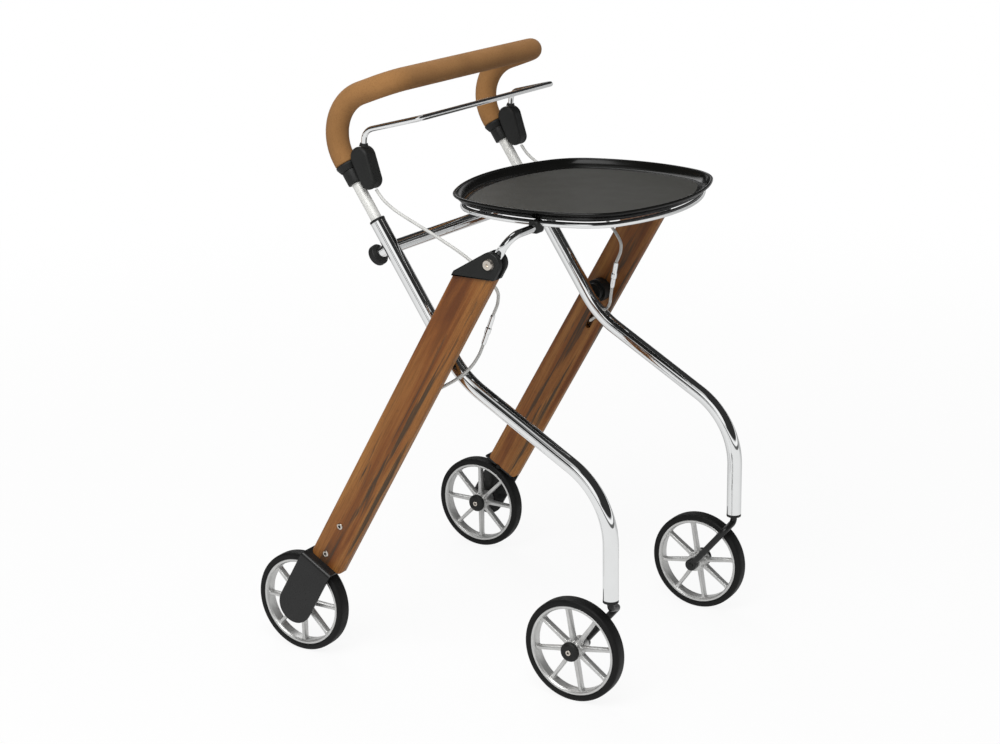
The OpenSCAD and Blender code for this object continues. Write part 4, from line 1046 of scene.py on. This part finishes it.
class WALKER_OT_wheels(bpy.types.Operator):
    """Four wheels: tyres, rims with deep spokes, hub caps and axles"""

    bl_idname = "walker.wheels"
    bl_label = "Wheels"

    def execute(self, context):
        for end, origin, axis, first in (
            ("rear", REAR_WHEEL, -X_AXIS, 0.0), ("front", FRONT_WHEEL, X_AXIS, -10.0),
        ):
            names = ("tyre", "tyre_rubber"), ("rim", "rim_silver"), ("hub_cap", "moulded_plastic_and_socket_shade")
            for (name, finish), shells in zip(names, wheel_shells(origin, axis, first)):
                make_pair(f"{end}_{name}", shells, finish, end + "_wheel_{}")
        front_x, front_length, rear_x, rear_length = 158.0, 49.5, 259.4, 39.9
        tube, core = axle_shells([front_x, *FRONT_WHEEL[1:]], X_AXIS, front_length)
        for piece, _ in make_pair("front_axle", tube + core, "zinc_bolts", "caster_{}"):
            # The core takes the black plastic finish: painted shade in the axle's socket
            second_finish(piece, "moulded_plastic_and_socket_shade", len(tube[0][1]))
        tube, core = axle_shells([rear_x, *REAR_WHEEL[1:]], -X_AXIS, rear_length)
        shells = tube + [mirrored(tube[0])] + core + [mirrored(core[0])]
        axles = make_piece("rear_axle_skins", shells, "zinc_bolts", "legs", "rear_axles")
        # The cores take the black plastic finish: painted shade in the axles' sockets
        second_finish(axles, "moulded_plastic_and_socket_shade", 2 * len(tube[0][1]))
        return {"FINISHED"}


class WALKER_OT_casters(bpy.types.Operator):
    """Caster forks, each one bent rod with an eye for its axle"""

    bl_idname = "walker.casters"
    bl_label = "Casters"

    def execute(self, context):
        rod_r, bend_r, edge = radius_of(context.scene.walker_sizes.fork_d), 8, 0.8
        corners = [[TUBE_X, -273, 187], [TUBE_X, -273, 147], [FORK_X, -270, 140], [FORK_X, -219.9, 80.2]]
        path, radii = soft_ends(bent_path(corners, [bend_r] * 2, 14), rod_r, edge, 4)
        profile = rounded_outline([[4.1, -5], [9, -5], [9, 5], [4.1, 5]], [0.3, 1.2, 1.2, 0.3])
        eye = turned(profile, [FORK_X, *FRONT_WHEEL[1:]], X_AXIS, Z_AXIS)
        make_pair("caster_fork", [rod(path, radii, 32), eye], "powder_coat", "caster_{}")
        return {"FINISHED"}


class WALKER_OT_tray_frame(bpy.types.Operator):
    """Ring that carries the tray, its arms and the clips that hold them together"""

    bl_idname = "walker.tray_frame"
    bl_label = "Tray frame"

    def execute(self, context):
        loop = tray_ring_at(tray_lines(), RING_INSET, RING_Z)
        ring = rod(loop, radius_of(context.scene.walker_sizes.ring_d), 36, Z_AXIS, loop=True)
        make_piece("tray_ring_skin", [ring], "polished_chrome", "tray_frame", "tray_ring")
        make_pair("tray_arm", arm_shells(), "polished_chrome", "tray_frame")
        block = rounded_outline([[-8, -8.8], [8, -8.8], [8, 8.8], [-8, 8.8]], 5.0, 8)
        clip = slab(TRAY_ARM_AT + [0, 1.2] + block, 162.5, 179.5, 3.0, 3.0)
        make_double("tray_clip_skins", clip, "tray_frame", "tray_clips")
        return {"FINISHED"}


class WALKER_OT_tray(bpy.types.Operator):
    """Oval tray with a rolled rim and a slip-proof floor"""

    bl_idname = "walker.tray"
    bl_label = "Tray"

    def execute(self, context):
        shell, before_floor = tray_shell()
        piece = make_piece("tray_skin", [shell], "tray_gloss", "tray", "tray", crease=50.0)
        second_finish(piece, "tray_floor", before_floor)
        underside = piece.data.polygons[-2]
        underside.material_index = 0
        return {"FINISHED"}


class WALKER_OT_small_parts(bpy.types.Operator):
    """Finishes of the bolts, bushes, spacers, boots and pads"""

    bl_idname = "walker.small_parts"
    bl_label = "Small parts"

    def execute(self, context):
        dress("zinc_bolts", "pivot_bolts", "clevis_bolts", "lever_pins")
        dress("polished_chrome", "cable_adjusters", "clamp_bosses")
        dress("moulded_plastic_and_socket_shade", "caster_bushes", "lever_boots", *both("pivot_spacer"))
        dress("tyre_rubber", *both("brake_pad"))
        return {"FINISHED"}


class WALKER_OT_stage(bpy.types.Operator):
    """White floor, soft studio light and the camera"""

    bl_idname = "walker.stage"
    bl_label = "Stage"

    def execute(self, context):
        make_floor(context.scene)
        make_world(context.scene)
        make_lamps(context.scene)
        make_camera(context.scene)
        context.scene.view_settings.view_transform = "Standard"
        return {"FINISHED"}


def white_light(tree, kind, strength):
    """White shader of a kind whose strength is a socket or a number."""
    node = tree.nodes.new(kind)
    plug(node, {"Color": (1, 1, 1, 1), "Strength": strength})
    return node.outputs[0]


def empty_tree(owner):
    """Node tree of a material or world, cleared of its nodes."""
    owner.use_nodes = True
    owner.node_tree.nodes.clear()
    return owner.node_tree


def make_floor(scene):
    """Large white floor. The camera sees mostly white light of strength 1 there, far out nothing else, so
    that the floor runs into the background; near the walker it also sees the lit floor, so that the soft
    shadow stays. Mirrors see it greyer, and greyest behind the walker. Its half width is in metres."""
    half = 9.0
    mesh = bpy.data.meshes.new("floor")
    corners = [(-half, -half, 0), (half, -half, 0), (half, half, 0), (-half, half, 0)]
    mesh.from_pydata(corners, [], [(0, 1, 2, 3)])
    floor = bpy.data.objects.new("floor", mesh)
    scene.collection.objects.link(floor)
    floor.location.z = -0.4 * MM
    material = bpy.data.materials.new("white_floor")
    tree = empty_tree(material)
    lit = tree.nodes.new("ShaderNodeBsdfDiffuse")
    ray = tree.nodes.new("ShaderNodeLightPath").outputs
    where = place(lit)
    plug(lit, {"Color": shades(noise(where, 3.0, 3.0), [(0.3, [0.86] * 3), (0.7, [0.88] * 3)])})
    in_mirrors = between(measure("DOT_PRODUCT", where, VIEW_FORWARD), -0.3, 0.9, 0.84, 0.5)
    strength = combine("MAXIMUM", ray["Is Camera Ray"], in_mirrors)
    white = white_light(tree, "ShaderNodeEmission", strength)
    seen = combine("MAXIMUM", ray["Is Camera Ray"], ray["Is Glossy Ray"])
    share = between(measure("LENGTH", where), 0.7, 3.0, 0.9, 1.0)
    surface = mixed(combine("MULTIPLY", seen, share), lit.outputs[0], white)
    plug(tree.nodes.new("ShaderNodeOutputMaterial"), {"Surface": surface})
    mesh.materials.append(material)


def make_world(scene):
    """White for the camera; for mirrors a studio with a white wall, a dark line at its horizon, a dark upper
    room and soft boxes in it; for other light an even grey-white."""
    scene.world = bpy.data.worlds.new("studio")
    tree = empty_tree(scene.world)
    way = tree.nodes.new("ShaderNodeTexCoord").outputs["Generated"]
    height = measure("DOT_PRODUCT", way, (0, 0, 1))
    line = between(combine("ABSOLUTE", height, 0.0), 0.03, 0.05, 0.12, 1.0)
    room = combine("MINIMUM", line, between(height, 0.10, 0.17, 1.0, 0.03))
    for box, wide, soft, level in (
        ((-0.86, -0.28, 0.42), 0.955, 0.012, 1.0), ((-0.58, -0.18, 0.79), 0.984, 0.008, 0.6),
        ((0.1, 0.25, 0.96), 0.97, 0.015, 1.0),
    ):
        near = measure("DOT_PRODUCT", way, Vector(box).normalized())
        room = combine("MAXIMUM", room, between(near, wide - soft, wide + soft, 0.0, level))
    mirror, white, even = (white_light(tree, "ShaderNodeBackground", level) for level in (room, 1.0, 0.42))
    ray = tree.nodes.new("ShaderNodeLightPath").outputs
    through = combine("MAXIMUM", ray["Is Camera Ray"], ray["Is Transmission Ray"])
    surface = mixed(through, mixed(ray["Is Glossy Ray"], even, mirror), white)
    plug(tree.nodes.new("ShaderNodeOutputWorld"), {"Surface": surface})


def spare_chrome(lamp):
    """Keeps the lamp's image out of the chrome, which mirrors the softer boxes of the studio instead."""
    spared = bpy.data.collections.new(lamp.name + "_spares")
    for piece in bpy.data.objects:
        if piece.type == "MESH" and FINISHES["polished_chrome"] in list(piece.data.materials):
            spared.objects.link(piece)
    for entry in spared.collection_objects:
        entry.light_linking.link_state = "EXCLUDE"
    lamp.light_linking.receiver_collection = spared


def make_lamps(scene):
    """A broad soft lamp over the front right and a weaker one from the back left."""
    for name, where, size, power in (
        ("key_lamp", (-1.9, -0.6, 3.0), 2.2, 84.0), ("back_lamp", (1.6, 1.8, 2.4), 1.6, 20.0),
    ):
        data = bpy.data.lights.new(name, "AREA")
        data.size = size
        data.energy = power
        lamp = bpy.data.objects.new(name, data)
        scene.collection.objects.link(lamp)
        lamp.location = where
        aim = Vector((0, 0, 0.4)) - Vector(where)
        lamp.rotation_euler = aim.to_track_quat("-Z", "Y").to_euler()
        spare_chrome(lamp)


def make_camera(scene):
    """Camera at the photograph's viewing angle. It looks along VIEW_FORWARD, is rolled slightly, and shifted
    so that the walker stands where the photograph has it."""
    stand, roll = (-2.4519, -1.5526, 1.2750), np.radians(-0.21)
    data = bpy.data.cameras.new("camera")
    data.lens = 74.28
    data.sensor_width = 36.0
    data.sensor_fit = "HORIZONTAL"
    data.shift_x = -0.0831
    data.shift_y = -0.0259
    camera = bpy.data.objects.new("camera", data)
    scene.collection.objects.link(camera)
    forward = Vector(VIEW_FORWARD).normalized()
    right = forward.cross(Vector((0, 0, 1))).normalized()
    up = right.cross(forward)
    turn = Matrix((right, up, -forward)).transposed().to_4x4()
    camera.matrix_world = Matrix.Translation(stand) @ turn @ Matrix.Rotation(roll, 4, "Z")
    scene.camera = camera


class WALKER_PT_panel(bpy.types.Panel):
    """Lists the walker's operators, sizes and colours"""

    bl_idname = "WALKER_PT_panel"
    bl_label = "Indoor walker"
    bl_space_type = "VIEW_3D"
    bl_region_type = "UI"
    bl_category = "Walker"

    def draw(self, context):
        for operator in OPERATORS:
            self.layout.operator(operator.bl_idname)
        for group in (context.scene.walker_sizes, context.scene.walker_colours):
            box = self.layout.box()
            for name in group.bl_rna.properties.keys():
                if name not in ("rna_type", "name"):
                    box.prop(group, name)


OPERATORS = (
    WALKER_OT_finishes, WALKER_OT_front_frame, WALKER_OT_handle, WALKER_OT_brake_lever, WALKER_OT_cables,
    WALKER_OT_wooden_legs, WALKER_OT_wheels, WALKER_OT_casters, WALKER_OT_tray_frame, WALKER_OT_tray,
    WALKER_OT_small_parts, WALKER_OT_stage,
)
CLASSES = (WalkerSizes, WalkerColours, *OPERATORS, WALKER_PT_panel)


def register():
    """Registers the classes and hangs the sizes and colours on the scene."""
    for item in CLASSES:
        bpy.utils.register_class(item)
    bpy.types.Scene.walker_sizes = bpy.props.PointerProperty(type=WalkerSizes)
    bpy.types.Scene.walker_colours = bpy.props.PointerProperty(type=WalkerColours)


def unregister():
    """Takes the sizes, colours and classes away again."""
    del bpy.types.Scene.walker_colours
    del bpy.types.Scene.walker_sizes
    for item in reversed(CLASSES):
        bpy.utils.unregister_class(item)


def main():
    """Builds the walker and its stage."""
    register()
    bpy.ops.walker.finishes()
    bpy.ops.walker.front_frame()
    bpy.ops.walker.handle()
    bpy.ops.walker.brake_lever()
    bpy.ops.walker.cables()
    bpy.ops.walker.wooden_legs()
    bpy.ops.walker.wheels()
    bpy.ops.walker.casters()
    bpy.ops.walker.tray_frame()
    bpy.ops.walker.tray()
    bpy.ops.walker.small_parts()
    bpy.ops.walker.stage()


if __name__ == "__main__":
    main()
